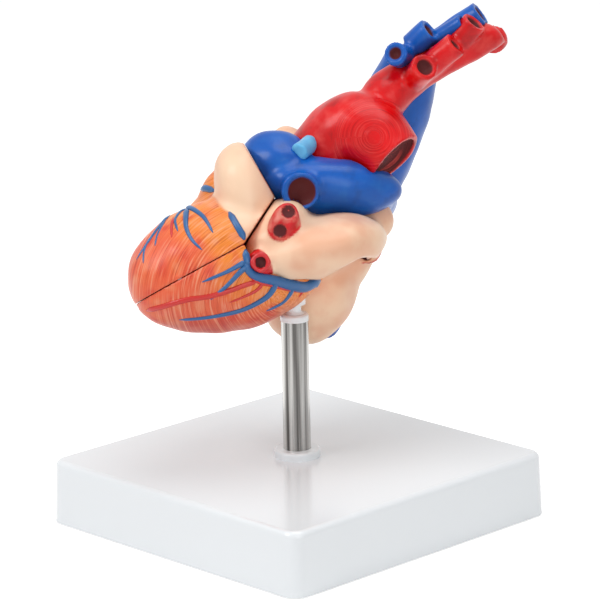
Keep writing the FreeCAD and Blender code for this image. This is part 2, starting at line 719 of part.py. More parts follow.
def make_chambers(forms):
    left = ellipsoid("left_chamber", "left_chamber", APEX, "left_ventricle_length - 2 * left_wall",
                     "left_ventricle_width - 2 * left_wall")
    right = ellipsoid("right_chamber_form", "right_ventricle", RIGHT_WALL_AXIS,
                      "right_ventricle_length - 2 * right_wall", "right_ventricle_height - 2 * right_wall",
                      "right_ventricle_width - 2 * right_wall")
    right = cut("right_chamber", right, forms["left"])
    right_low = ellipsoid("right_chamber_low_form", "right_ventricle", ACROSS_RIGHT_WALL,
                          "right_ventricle_height - 2 * right_wall", "right_ventricle_length - 2 * right_wall",
                          "right_ventricle_width - 2 * right_wall")
    right_low = cut("right_chamber_low", right_low, forms["left"])
    outflow = rod_between("outflow", spot("conus_low"), spot("pulmonary_root") + TRUNK_START,
                          "pulmonary_outflow_diameter")
    left_atrium = ellipsoid("left_atrium_chamber", "left_atrium_chamber", ATRIUM_AXIS,
                            "left_atrium_height - 2 * atrium_wall", "left_atrium_length - 4 * atrium_wall",
                            "left_atrium_width - 3 * atrium_wall")
    low = ellipsoid("right_atrium_low_chamber", "right_atrium", CAVA_AXIS,
                    "right_atrium_length - 2 * atrium_wall", "right_atrium_width - 2 * atrium_wall")
    high = ellipsoid("right_atrium_high_chamber", "right_atrium_upper", CAVA_AXIS,
                     "right_atrium_upper_length - 2 * atrium_wall",
                     "right_atrium_upper_width - 2 * atrium_wall")
    reach = 2 * value("atrium_wall")
    mitral, tricuspid = (
        rod_between(f"{name}_way", spot(name) - axis * reach, spot(name) + axis * reach, f"{name}_diameter")
        for name, axis in (("mitral", MITRAL_AXIS), ("tricuspid", TRICUSPID_AXIS)))
    return {
        "left": left, "right": right, "right_low": right_low, "outflow": outflow, "left_atrium": left_atrium,
        "right_atrium": fuse("right_atrium_chamber", low, high), "mitral": mitral, "tricuspid": tricuspid,
        "aortic": recess("aortic_way", "aortic", MITRAL_AXIS * -1, "aortic_outflow_diameter", "atrium_wall"),
    }


def make_walls(forms, rooms, way):
    """Both halves of the ventricles, the atria and the auricles."""
    front_side = [SEAM_LOW_END, *SEAM, SEAM_TOP_END, (-FAR, SEAM_TOP_END[1]), (-FAR, SEAM_LOW_END[1])]
    shift = parting_shift()
    taken = prism("front_side", front_side, -FAR, FAR)
    kept = prism("front_side_clear", [(x + shift.x, z + shift.z) for x, z in front_side], -FAR, FAR)
    above = [*ATRIUM_GROOVE, *SEAM, SEAM_TOP_END, (FAR, SEAM_TOP_END[1]), (FAR, ATRIUM_GROOVE[0][1])]
    left_space = prism("left_atrium_space", above, -FAR, value("septum_depth"))
    rear_form = cut("rear_form", forms["ventricles_low"], taken, left_space, *forms["right_lobes"])
    rear = cut("rear_wall", rear_form, rooms["left"], rooms["right_low"], rooms["mitral"],
               rooms["tricuspid"], way)
    front_form = common("front_form", forms["ventricles"], kept)
    front = cut("front_wall", front_form, rooms["left"], rooms["right"], rooms["outflow"])
    left_form = common("left_atrium_above", forms["left_atrium"], left_space)
    left_atrium = cut("left_atrium_wall", left_form, way, rooms["left_atrium"], rooms["mitral"],
                      rooms["aortic"])
    right_atrium = cut("right_atrium_wall", forms["right_atrium"], left_space, way, rooms["right_atrium"],
                       rooms["tricuspid"])
    ear = ellipsoid("left_ear", "left_auricle", AURICLE_AXIS, "left_auricle_length", "left_auricle_width",
                    "left_auricle_depth")
    left_ear = cut("left_ear_cut", common("left_ear_front", ear, kept), forms["ventricles"])
    bump = ellipsoid("right_ear", "right_auricle", RIGHT_AURICLE_AXIS, "right_auricle_length",
                     "right_auricle_width")
    right_ear = cut("right_ear_cut", bump, *forms["right_lobes"], rear_form, left_form)
    return {
        "taken": taken, "rear_form": rear_form, "right_bump": bump, "rear": rear, "front": front,
        "left_atrium": left_atrium, "right_atrium": right_atrium, "left_ear": left_ear, "right_ear": right_ear,
    }


def stub(label, start, end, diameter, *seats):
    """A short straight vessel with its far end sunk. Its plain tube is what others seat on."""
    tube = rod_between(label + "_tube", spot(start), spot(end), diameter)
    sunk = recess(label + "_mouth", end, spot(end) - spot(start), f"{diameter} - 2 * vessel_wall")
    heart_node(cut(label + "_stub", tube, sunk, *seats), label)
    return tube


def make_arteries(forms, walls):
    """The aorta and its branches, seated on the heart and on each other."""
    mouth = "- 2 * vessel_wall"
    aorta_form = vessel(
        "aorta_form", ["aorta_root", "aorta_rise", "aorta_climb", "aorta_arch", "aorta_turn", "aorta_end"],
        ["aorta_root_diameter", "aorta_diameter", "arch_diameter", "arch_diameter", "descending_diameter",
         "descending_end_diameter"], aorta_end=AORTA_END)
    aorta_mouth = recess("aorta_mouth", "aorta_end", AORTA_END, f"descending_end_diameter {mouth}")
    heart_node(cut("aorta_seated", aorta_form, walls["taken"], forms["left_atrium"], *forms["right_lobes"],
                   forms["right"], walls["right_bump"], aorta_mouth), "aorta")
    arm_form = vessel(
        "arm_form", ["neck_base", "neck_top", "artery_fork", "subclavian_bend", "subclavian_right_end"],
        ["neck_base_diameter", "neck_diameter", "brachiocephalic_artery_diameter",
         "brachiocephalic_artery_diameter", "subclavian_right_diameter"], subclavian_right_end=ARM_END)
    arm_mouth = recess("arm_mouth", "subclavian_right_end", ARM_END, f"subclavian_right_diameter {mouth}")
    heart_node(cut("arm_seated", arm_form, aorta_form, arm_mouth), "brachiocephalic_artery")
    right_neck = stub("right_carotid_artery", "artery_fork", "carotid_right_end", "carotid_right_diameter",
                      arm_form)
    left_arm = stub("left_subclavian_artery", "subclavian_left_start", "subclavian_left_end",
                    "subclavian_left_diameter", arm_form)
    stub("left_carotid_artery", "carotid_left_start", "carotid_left_end", "carotid_left_diameter", arm_form,
         left_arm, right_neck)
    return {"aorta": aorta_form, "arm": arm_form, "left_arm": left_arm, "right_neck": right_neck}


def make_veins(forms, walls, arteries):
    """The upper great vein and its branches, the lower one, and the veins of the lungs."""
    cava_form = vessel("cava_form", ["cava_root", "cava_middle", "cava_top"],
                       ["cava_root_diameter", "cava_diameter", "cava_top_diameter"])
    heart_node(cut("cava_seated", cava_form, *forms["right_lobes"], walls["right_bump"], arteries["aorta"],
                   arteries["arm"]), "superior_vena_cava")
    left_vein = stub("left_brachiocephalic_vein", "vein_left_start", "vein_left_end",
                     "brachiocephalic_vein_left_diameter", cava_form, arteries["arm"], arteries["left_arm"])
    right_vein = stub("right_brachiocephalic_vein", "cava_top", "vein_right_end",
                      "brachiocephalic_vein_right_diameter", cava_form, arteries["arm"],
                      arteries["right_neck"], left_vein)
    left_neck = stub("left_jugular_vein", "jugular_left_start", "jugular_left_end", "jugular_left_diameter",
                     cava_form, arteries["arm"], left_vein, right_vein)
    stub("right_jugular_vein", "jugular_right_start", "jugular_right_end", "jugular_right_diameter",
         arteries["arm"], arteries["right_neck"], right_vein, left_neck)
    stub("inferior_vena_cava", "right_atrium", "inferior_cava_end", "inferior_cava_diameter",
         *forms["right_lobes"])
    upper = ellipsoid("vein_upper_pad", "vein_upper", CAVA_AXIS, "vein_upper_height", "vein_upper_width")
    holes = [recess(hole, hole, TOWARDS_LEFT, "vein_bore", "root_depth")
             for hole in ("vein_upper_hole_a", "vein_upper_hole_b")]
    heart_node(cut("vein_upper_cut", upper, forms["left_atrium"], *holes), "left_upper_pulmonary_veins")
    lower = ellipsoid("vein_lower_pad", "vein_lower", TOWARDS_LEFT, "vein_lower_diameter")
    hole = recess("vein_lower_hole", "vein_lower_hole", TOWARDS_LEFT, "vein_bore", "root_depth")
    heart_node(cut("vein_lower_cut", lower, forms["left_atrium"], walls["rear_form"], hole),
               "left_lower_pulmonary_vein")
    lung_veins = [
        stub(f"right_{level}_pulmonary_vein", f"{level}_vein_lobe", f"vein_right_{level}_end",
             "vein_right_diameter", forms["left_atrium"], *forms["right_lobes"], cava_form)
        for level in ("upper", "lower")]
    return cava_form, lung_veins


def make_pulmonary(forms, walls, arteries, cava_form, lung_veins):
    """The trunk from its root on the parting face to its fork, its two branches and the ligament."""
    rightward = spot("right_pulmonary_end") - spot("right_pulmonary_bend")
    root = rod_between("trunk_root", spot("pulmonary_root"), spot("pulmonary_root") + TRUNK_START * 8,
                       "trunk_root_diameter")
    bulb = ellipsoid("trunk_bulb", "pulmonary_trunk", TRUNK_AXIS, "trunk_bulb_length",
                     "pulmonary_trunk_diameter")
    bulb = cut("trunk_bulb_kept", bulb, walls["taken"])
    fork = ellipsoid("trunk_fork", "pulmonary_fork", FORK_AXIS, "pulmonary_fork_length",
                     "pulmonary_fork_height", "pulmonary_fork_depth")
    fork = cut("trunk_fork_kept", fork, walls["taken"])
    trunk_form = fuse("trunk_form", root, bulb, fork)
    root_mouth = recess("root_mouth", "pulmonary_root", TRUNK_START * -1, "pulmonary_outflow_diameter",
                        "root_depth")
    rise, climb = spot("aorta_rise"), spot("aorta_climb")
    low = cone_between("aorta_seat_low", spot("aorta_root"), rise + (climb - rise) * 0.6,
                       "aorta_root_diameter + 2", "aorta_diameter + 2.6")
    high = cone_between("aorta_seat_high", rise - (climb - rise) * 0.15, climb + (climb - rise) * 0.3,
                        "aorta_diameter + 2.2", "arch_diameter + 2.6")
    end = cone_between("aorta_seat_end", spot("aorta_turn") - AORTA_END * 6,
                       spot("aorta_end") + AORTA_END * 0.5, "descending_diameter + 3.4",
                       "descending_end_diameter + 1.6")
    heart_node(cut("trunk_seated", trunk_form, *forms["left_lobes"][:3], low, high, end, root_mouth),
               "pulmonary_trunk")
    right = cone_between("right_branch", spot("right_pulmonary_bend"), spot("right_pulmonary_end"),
                         "right_pulmonary_diameter", "right_pulmonary_end_diameter")
    right_mouth = recess("right_mouth", "right_pulmonary_end", rightward,
                         "right_pulmonary_end_diameter - 2 * vessel_wall")
    heart_node(cut("right_branch_seated", right, *forms["left_lobes"], *forms["right_lobes"], trunk_form,
                   cava_form, *lung_veins, low, high, end, right_mouth), "right_pulmonary_artery")
    stub("left_pulmonary_artery", "left_pulmonary_start", "left_pulmonary_end", "left_pulmonary_diameter",
         trunk_form, forms["left_atrium"])
    band = rod_between("ligament_band", spot("ligament_start"), spot("ligament_end"), "ligament_diameter")
    heart_node(cut("ligament_cut", band, arteries["aorta"], trunk_form), "ligamentum_arteriosum")


def valve(label, name, axis, diameter):
    """Two leaflets: a tapering sleeve that hangs from its ring, slit down both sides."""
    length = value("leaflet_length")
    ring = spot(name) + axis * value("leaflet_thickness")
    tip = spot(name) - axis * length
    inner = f"{diameter} - 2 * leaflet_thickness"
    outside = cone_between(label + "_outside", ring, tip, diameter, f"{diameter} - leaflet_taper")
    inside = cone_between(label + "_inside", ring + axis * 0.1, tip - axis * 0.1, inner,
                          f"{inner} - leaflet_taper")
    slit = doc.addObject("Part::Box", label + "_slit")
    bind(slit, Length="leaflet_gap", Width=f"2 * ({diameter})", Height="2 * leaflet_length")
    turn = Rotation(Vector(0, 0, 1), axis)
    middle = Vector(-value("leaflet_gap") / 2, -value(diameter), -2 * length)
    slit.Placement = Placement(spot(name) + turn.multVec(middle), turn)
    return cut(label + "_leaflets", outside, inside, slit)


def cusps(label, name, axis, diameter, depth):
    """Three flat cusps across an outlet."""
    turn = Rotation(Vector(0, 0, 1), axis)
    disc = doc.addObject("Part::Cylinder", label + "_disc")
    bind(disc, Radius=f"({diameter}) / 2", Height="cusp_thickness")
    disc.Placement = Placement(spot(name) + turn.multVec(Vector(0, 0, value(depth))), turn)
    slits = []
    for count in range(3):
        slit = doc.addObject("Part::Box", f"{label}_slit_{count}")
        bind(slit, Length="cusp_gap", Width=diameter, Height="3 * cusp_thickness")
        spin = turn * Rotation(Vector(0, 0, 1), 120 * count)
        corner = Vector(-value("cusp_gap") / 2, 0, value(depth) - value("cusp_thickness"))
        slit.Placement = Placement(spot(name) + spin.multVec(corner), spin)
        slits.append(slit)
    return cut(label + "_cusps", disc, *slits)


def make_inner(rooms):
    """Valves, papillary muscles and the cords that tie the leaflets to them."""
    heart_node(valve("mitral", "mitral", MITRAL_AXIS, "mitral_diameter"), "mitral_valve")
    heart_node(valve("tricuspid", "tricuspid", TRICUSPID_AXIS, "tricuspid_diameter"), "tricuspid_valve")
    heart_node(cusps("aortic", "aortic", MITRAL_AXIS, "aortic_outflow_diameter", "cusp_depth"),
               "aortic_valve")
    heart_node(cusps("pulmonary", "pulmonary_root", TRUNK_START, "pulmonary_outflow_diameter", "cusp_depth"),
               "pulmonary_valve")
    muscles = []
    cords = []
    reach = value("leaflet_length") - value("chorda_diameter")
    for side, room, leaf, axis, angles in (
            ("front", "left", "mitral", MITRAL_AXIS, (150, 210)),
            ("back", "left", "mitral", MITRAL_AXIS, (-30, 30)),
            ("right", "right", "tricuspid", TRICUSPID_AXIS, (-60, 60))):
        foot, tip = spot(f"papillary_{side}_foot"), spot(f"papillary_{side}_tip")
        cone = cone_between(f"muscle_{side}", foot, tip, "papillary_diameter", "papillary_tip_diameter")
        muscles.append(common(f"muscle_{side}_inside", cone, rooms[room]))
        edge = spot(leaf) - axis * reach
        radius = (value(f"{leaf}_diameter") - value("leaflet_taper") - value("leaflet_thickness")) / 2
        turn = Rotation(Vector(0, 0, 1), axis)
        for angle in angles:
            around = Rotation(Vector(0, 0, 1), angle).multVec(Vector(radius, 0, 0))
            end = edge + turn.multVec(around)
            start = tip + (end - tip).normalize() * value("chorda_diameter") / 2
            cords.append(rod_between(f"cord_{side}_{angle % 360}", start, end, "chorda_diameter"))
    heart_node(fuse("muscles", *muscles), "papillary_muscles")
    heart_node(fuse("cords", *cords), "chordae_tendineae")


def seam_point(name):
    """A place on the long parting face, from its x and y."""
    (x0, z0), (x1, z1) = SEAM_LOW_END, SEAM[0]
    point = spot(name)
    return Vector(point.x, point.y, z0 + (point.x - x0) * (z1 - z0) / (x1 - x0))


def seam_normal():
    (x0, z0), (x1, z1) = SEAM_LOW_END, SEAM[0]
    return Vector(z0 - z1, 0, x1 - x0).normalize()


def plug(name, start, direction, diameter, length):
    item = doc.addObject("Part::Cylinder", name)
    item.Placement = Placement(start, Rotation(Vector(0, 0, 1), direction))
    return bind(item, Radius=f"({diameter}) / 2", Height=length)


def make_fastenings(walls):
    """Magnets let into both parting faces, and dowels that point along the lift."""
    up = seam_normal()
    shift = parting_shift()
    pairs = {"rear": [], "front": []}
    for name in ("magnet_left", "magnet_septum"):
        face = seam_point(name)
        pairs["rear"].append(plug(name + "_rear", face, up * -1, "magnet_diameter", "magnet_height"))
        pairs["front"].append(plug(name + "_front", face + shift, up, "magnet_diameter", "magnet_height"))
    pegs, seats, holes = [], [], []
    for name in ("dowel_left", "dowel_septum"):
        face = seam_point(name)
        start = face - LIFT * (value("dowel_length") - value("dowel_proud"))
        pegs.append(plug(name + "_peg", start, LIFT, "dowel_diameter", "dowel_length"))
        holes.append(plug(name + "_hole", face - LIFT, LIFT, "dowel_diameter + 2 * dowel_clearance",
                          "dowel_proud + dowel_clearance + 1"))
    rear = cut("rear_finished", walls["rear"], *pairs["rear"], *pegs)
    front = cut("front_finished", walls["front"], *pairs["front"], *holes)
    heart_node(rear, "rear_ventricle_wall")
    heart_node(front, "front_ventricle_wall")
    heart_node(fuse("rear_magnet_pair", *pairs["rear"]), "rear_magnets")
    heart_node(fuse("front_magnet_pair", *pairs["front"]), "front_magnets")
    heart_node(fuse("pegs", *pegs), "locating_pins")


def make_heart():
    way = socket_way()
    forms = make_forms()
    rooms = make_chambers(forms)
    walls = make_walls(forms, rooms, way)
    make_fastenings(walls)
    heart_node(walls["left_atrium"], "left_atrium")
    heart_node(walls["right_atrium"], "right_atrium")
    heart_node(walls["left_ear"], "left_auricle")
    heart_node(walls["right_ear"], "right_auricle")
    arteries = make_arteries(forms, walls)
    cava_form, lung_veins = make_veins(forms, walls, arteries)
    make_pulmonary(forms, walls, arteries, cava_form, lung_veins)
    make_inner(rooms)


def finish():
    doc.recompute()
    for item in doc.Objects:
        if "Invalid" in item.State or "Error" in item.State:
            raise RuntimeError(f"{item.Label} did not build: {item.State}")
    for item in NODES:
        if item.Shape.isNull() or not item.Shape.isValid():
            raise RuntimeError(f"{item.Label} has no valid shape")
    os.makedirs("parts", exist_ok=True)
    for item in NODES:
        item.Shape.exportStep(os.path.join("parts", item.Label + ".step"))


fill_sheet()
make_base()
make_feet()
make_post()
make_heart()
finish()
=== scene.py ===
import math

import bmesh
import bpy
import numpy as np
from bpy.props import FloatProperty, FloatVectorProperty, PointerProperty
from mathutils import Matrix, Vector, noise
from mathutils.bvhtree import BVHTree


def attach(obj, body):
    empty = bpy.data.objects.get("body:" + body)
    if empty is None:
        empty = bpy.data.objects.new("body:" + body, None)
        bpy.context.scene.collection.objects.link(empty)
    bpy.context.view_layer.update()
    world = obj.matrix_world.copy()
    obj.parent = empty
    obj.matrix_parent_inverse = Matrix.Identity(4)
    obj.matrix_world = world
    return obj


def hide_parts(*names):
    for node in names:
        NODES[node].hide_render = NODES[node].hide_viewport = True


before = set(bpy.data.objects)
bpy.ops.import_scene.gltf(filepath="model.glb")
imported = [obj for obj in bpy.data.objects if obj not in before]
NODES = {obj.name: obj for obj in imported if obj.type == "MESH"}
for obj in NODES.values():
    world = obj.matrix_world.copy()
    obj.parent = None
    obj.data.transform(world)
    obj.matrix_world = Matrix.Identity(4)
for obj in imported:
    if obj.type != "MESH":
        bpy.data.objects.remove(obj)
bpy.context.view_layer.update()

bl_info = {
    "name": "Heart anatomy model",
    "version": (1, 0, 0),
    "blender": (4, 2, 0),
    "location": "View3D > Sidebar > Heart",
    "description": "Dresses the heart model: painted PVC halves, vessels, coronary relief and stand.",
    "category": "Object",
}

MM = 1000  # in a metre
# The heart frame, as in the CAD: x to the vessel end, y to the heart's right, z up, in mm. It stands at this
# place and is turned by these degrees about z, x and y.
HEART_PLACE, HEART_TURNS = (0, 0, 0.0816), (("Z", 46), ("X", -15), ("Y", 1.2))
HEART = Matrix.Translation(HEART_PLACE)
for turn_axis, degrees in HEART_TURNS:
    HEART = HEART @ Matrix.Rotation(math.radians(degrees), 4, turn_axis)
HEART = HEART @ Matrix.Scale(1 / MM, 4)
TO_HEART = HEART.inverted()
TURN = np.array(HEART.to_3x3())
BACK = np.array(TO_HEART.to_3x3())
SHIFT = np.array(HEART.translation)

# The seam between the halves: two straight runs in the heart frame's x and z.
SEAM = [(-109.0, -29.15), (-17.5, 21.0), (-6.6, 38.0), (-48.3, 109.9)]
# Which way the two runs' faces look, and how far from the seam, in mm, the skins' unevenness begins and
# is full.
RUN_FACES = [(-0.48, 0, 0.877), (0.865, 0, 0.502)]
SEAM_KEPT, SEAM_FREE = 0.4, 2.5
# How far nodes that share a skin are swollen before they are fused, in mm.
SWELL = 0.3
# The fleshy foot of the auricle ends along this line, in the heart frame's x and z.
FOOT_EDGE = [(-29.0, 40.0), (-15.4, 20.0)]
# The grooves that carry the small vessels, in x and z, and the middle that the muscle's hoops go round.
GROOVES = [((-27, 37), (-16, 14)), ((-16, 14), (-9.5, 10)), ((-9.5, 10), (9, 8)), ((-40, 33), (-27, 40))]
HOOP_X, HOOP_Z = -4, 2
# Middle of the fine rings on the arch, and how much bolder the small vessels are than their lines.
RING_MIDDLE = (28.5, -20.0, 59.5)
BOLD = 1.35
# Rooms inside the walls: middle, long axis, half length, half width, half depth.
ROOMS = [
    ((-27.6, -15.2, 13.6), (-0.912, -0.342, -0.227), 29.5, 15.0, 15.0),
    ((-18.0, 10.0, 22.0), (0.55, 0, 0.835), 24.5, 19.5, 22.5),
]
# Coronary vessels: points in the heart frame as seen from its left, start and end half widths.
VEINS_SEEN = [
    ([(-23.0, 32.5), (-20.4, 27.9), (-17.5, 22.5), (-17.0, 17.4), (-15.9, 13.0)], 0.94, 1.09),
    ([(-17.1, 14.7), (-16.0, 11.7), (-13.0, 9.6), (-6.9, 8.2), (-0.8, 6.6), (4.4, 6.1), (8.9, 9.1)],
     1.0, 1.8),
    ([(-16.9, 15.0), (-20.5, 12.9), (-24.6, 10.8), (-32.4, 7.6)], 0.8, 0.36),
    ([(-16.6, 13.0), (-18.6, 11.6), (-23.6, 6.4), (-29.4, 1.5)], 0.94, 0.43),
    ([(-6.3, 8.0), (-7.9, 4.5), (-11.0, 1.5), (-18.1, -2.1), (-26.2, -4.1), (-33.5, -5.2), (-40.6, -5.7)],
     1.09, 0.45),
    ([(-0.4, 6.6), (-1.4, 3.6), (-4.4, 0.2), (-9.9, -2.6)], 0.94, 0.43),
    ([(-37.8, 36.6), (-41.4, 34.1), (-45.0, 30.8), (-48.3, 26.8), (-52.3, 21.0), (-55.9, 15.6)],
     0.87, 0.33),
    ([(-38.4, 33.6), (-40.4, 32.8), (-41.8, 30.9), (-42.2, 29.1), (-41.1, 25.6)], 0.6, 0.3),
    ([(-45.9, 29.5), (-47.5, 26.6), (-48.6, 23.8), (-49.2, 20.4)], 0.45, 0.25),
    ([(-51.6, 23.0), (-53.1, 18.6), (-53.3, 14.3)], 0.4, 0.25),
    ([(-38.2, 34.6), (-38.4, 30.6), (-38.0, 26.5), (-35.9, 22.4), (-32.4, 18.9)], 0.9, 0.3),
    ([(-35.6, 40.6), (-32.7, 41.7), (-28.7, 40.6)], 1.09, 0.87),
    ([(-39.2, 34.4), (-36.6, 33.9), (-32.8, 31.4), (-30.6, 28.6), (-28.6, 25.0)], 1.0, 0.3),
]
ARTERIES_SEEN = [
    ([(-16.6, 11.2), (-14.4, 9.0), (-11.8, 7.4), (-7.2, 6.4), (-1.4, 4.9), (4.9, 4.2)], 0.6, 0.5),
    ([(-12.9, 8.0), (-18.1, 6.3), (-22.8, 4.6), (-29.8, 2.6), (-37.8, 1.4), (-46.8, -1.1), (-52.3, -2.5)],
     0.7, 0.8),
    ([(-10.9, 7.0), (-13.8, 4.4), (-18.1, 2.3), (-22.8, 0.4)], 0.6, 0.28),
    ([(3.3, 5.1), (2.7, 3.9), (1.6, 2.2)], 0.6, 0.3),
    ([(-42.9, 30.5), (-43.4, 27.3), (-43.2, 23.4)], 0.6, 0.28),
]
# The same on the side away from that view.
VEINS_FAR = [
    ([(-4.0, -4.0), (-14.0, -3.0), (-26.0, -3.0), (-38.0, -2.0), (-46.0, 0.0)], 1.1, 0.4),
    ([(-20.0, -3.2), (-26.0, 3.0), (-34.0, 8.0)], 0.8, 0.35),
    ([(-14.0, 38.0), (-22.0, 30.0), (-30.0, 22.0), (-38.0, 16.0)], 0.8, 0.35),
]
ARTERIES_FAR = [
    ([(-8.0, 40.0), (-12.5, 30.0), (-13.0, 18.0), (-10.5, 6.0), (-9.0, -3.0)], 1.0, 0.7),
    ([(-13.0, 18.0), (-22.0, 14.0), (-32.0, 12.0)], 0.7, 0.3),
    ([(-9.5, 0.0), (-22.0, -1.5), (-34.0, -1.5), (-44.0, 1.5)], 0.9, 0.35),
]
# Sunk mouths: middle of the rim, direction out, half width of the hollow.
MOUTHS = [
    ((36.0, -6.9, 51.7), (0.68, -0.27, -0.68), 9.9), ((73.0, 20.0, 97.0), (0.2, 0.95, 0.1), 3.5),
    ((65.3, -0.5, 101.8), (10.3, -6.5, 12.5), 3.0), ((47.0, -9.0, 85.2), (4.0, -10.0, 3.7), 3.2),
    ((58.2, -5.0, 93.4), (12.2, -6.0, 9.9), 2.7), ((36.4, -7.5, 90.0), (-6.1, -19.5, 1.5), 2.5),
    ((49.2, 1.5, 99.0), (6.7, -3.5, 5.5), 2.9), ((67.8, 8.0, 105.4), (24.6, -8.0, 16.4), 3.2),
    ((61.0, -0.5, 102.0), (10.0, -5.5, 6.0), 1.2), ((9.8, 40.5, -6.8), (3.3, 18.0, -12.3), 6.8),
    ((2.5, -22.5, 40.0), (0.9, -12.5, -3.0), 5.1), ((29.0, 36.0, 38.0), (3.4, 35.0, -3.4), 7.3),
    ((-2.0, -37.0, 32.6), (0, -1, 0), 1.7), ((-4.9, -37.0, 25.7), (0, -1, 0), 1.7),
    ((-12.0, -35.0, 14.6), (0, -1, 0), 1.5), ((31.0, 17.0, 32.0), (3.5, 11.0, 1.5), 2.8),
    ((28.0, 14.0, 18.0), (4.5, 7.0, -4.5), 2.8),
]
# Where the left atrium is pressed out to the seam: middle in x and z, way, reach.
ATRIUM_PRESSES = [((-14.5, 21.0), (-2.2, -3.4, 0.6), 4.0), ((-12.0, 14.8), (0.2, -2.0, -0.2), 4.0)]
# The lower left lung vein's rim: its middle in x and z, its rings as half width and y, and the dark hollow's
# half width and greatest y.
RIM_X, RIM_Z = -11.8, 14.6
RIM_RINGS = [(3.3, -32.5), (3.6, -37.4), (3.3, -38.2), (2.6, -38.4), (2.1, -38.0), (1.8, -36.6)]
RIM_HOLLOW, RIM_FOOT = 2.02, -34
# What the paint's colour is multiplied by where it is darkest.
ARTERY_SHADE, VEIN_SHADE, LIGAMENT_SHADE = (0.62, 0.4, 0.4), (0.5, 0.55, 0.65), (0.8, 0.85, 0.9)
# The nodes that share a skin.
ARTERIES = ["aorta", "brachiocephalic_artery", "right_carotid_artery", "left_subclavian_artery",
            "left_carotid_artery"]
VEINS = ["superior_vena_cava", "left_brachiocephalic_vein", "left_jugular_vein",
         "right_brachiocephalic_vein", "right_jugular_vein", "inferior_vena_cava"]
PULMONARY = ["pulmonary_trunk", "right_pulmonary_artery", "left_pulmonary_artery"]
LUNG_VEINS = ["left_upper_pulmonary_veins", "left_lower_pulmonary_vein", "right_upper_pulmonary_vein",
              "right_lower_pulmonary_vein"]
FLESH = ["left_atrium", "right_atrium", "right_auricle"]

# Studio: lamps by name, place, size in m and power in W, and what they point at.
LAMPS = [("key", (-0.25, -0.75, 0.85), 0.55, 4.5), ("fill", (0.95, -0.35, 0.45), 0.7, 2.3),
         ("top", (0.1, 0.1, 1.0), 0.7, 3.2)]
LAMP_AIM = (0, 0, 0.1)
# The floor's glow and the world's strength, where they aren't seen and where they are.
PAPER_GLOW = (0, 0.56)
WORLD_GLOW = (0.38, 1.0)
# Camera: azimuth, elevation and roll in degrees, the point it looks at as right and up in m, its distance
# in m, and its lens and sensor in mm.
CAMERA_TURN = (45.94, 15.125, -1.185)
CAMERA_RIGHT, CAMERA_UP = 0.002113, 0.082852
CAMERA_AWAY, CAMERA_LENS, CAMERA_SENSOR = 1.345209, 222.886, 36


def linear(red, green, blue):
    """A screen colour, 0 to 255, as linear values."""
    return tuple(c / 12.92 if c <= 0.04045 else ((c + 0.055) / 1.055) ** 2.4
                 for c in (red / 255, green / 255, blue / 255))


def colour(name, description, *value):
    """A colour for the panel, from a screen colour."""
    return FloatVectorProperty(name=name, description=description, default=linear(*value), subtype="COLOR",
                               size=3, min=0, max=1)


class HeartLooks(bpy.types.PropertyGroup):
    """Sizes and colours of the model's dressing."""
    grain: FloatProperty(name="Skin grain", description="Spacing of the remeshed skin", default=0.00075,
                         unit="LENGTH", min=0.0004)
    relief: FloatProperty(name="Relief", description="Depth of the hand-modelled unevenness",
                          default=0.0004, unit="LENGTH", min=0)
    overlap: FloatProperty(name="Overlap", description="How far glued skins sink into each other",
                           default=0.00022, unit="LENGTH", min=0)
    muscle: colour("Muscle", "Base colour of the ventricles", 234, 100, 64)
    muscle_warm: colour("Warm muscle", "Orange near the grooves", 244, 142, 44)
    muscle_pale: colour("Pale muscle", "Salmon patches", 240, 146, 112)
    muscle_red: colour("Red muscle", "Red patches", 214, 52, 34)
    # Painted shade: the colour the muscle darkens to towards the bottom of the heart.
    muscle_shade: colour("Shaded muscle", "Violet under the heart", 170, 62, 62)
    stroke_pale: colour("Pale strokes", "Fine pale hoops", 250, 186, 150)
    stroke_dark: colour("Dark strokes", "Fine dark hoops", 172, 40, 28)
    flesh: colour("Flesh", "Atria and auricles", 250, 208, 176)
    flesh_warm: colour("Warm flesh", "Blush on the atria and auricles", 238, 176, 142)
    flesh_light: colour("Light flesh", "Pale highs of the atria", 252, 222, 190)
    artery: colour("Artery", "Red vessels", 226, 2, 10)
    vein: colour("Vein", "Blue vessels", 0, 92, 188)
    coronary_vein: colour("Coronary vein", "Small veins on the ventricles", 22, 92, 152)
    coronary_artery: colour("Coronary artery", "Small arteries on the ventricles", 206, 30, 22)
    lumen: colour("Lumen", "Inside the sunk mouths", 84, 22, 24)
    room: colour("Room", "Inside the ventricles", 176, 62, 52)
    section: colour("Section", "Parting faces", 226, 112, 88)
    lung_vein: colour("Lung vein", "Rims of the lung veins", 206, 22, 30)
    ligament: colour("Ligament", "The small ligament", 110, 195, 235)
    valve: colour("Valve", "Leaflets and cords", 240, 222, 190)
    white: colour("White plastic", "Base, collar, cap and spigot", 238, 242, 245)


# Materials

def material(name, rough, coat=0.0, metallic=0.0, **sockets):
    """A new material with these numbers on its shader: (material, tree, shader)."""
    mat = bpy.data.materials.new(name)
    mat.use_nodes = True
    shader = mat.node_tree.nodes["Principled BSDF"]
    shader.inputs["Roughness"].default_value = rough
    shader.inputs["Coat Weight"].default_value = coat
    shader.inputs["Coat Roughness"].default_value = 0.12
    shader.inputs["Metallic"].default_value = metallic
    for key, value in sockets.items():
        shader.inputs[key.replace("_", " ")].default_value = value
    return mat, mat.node_tree, shader


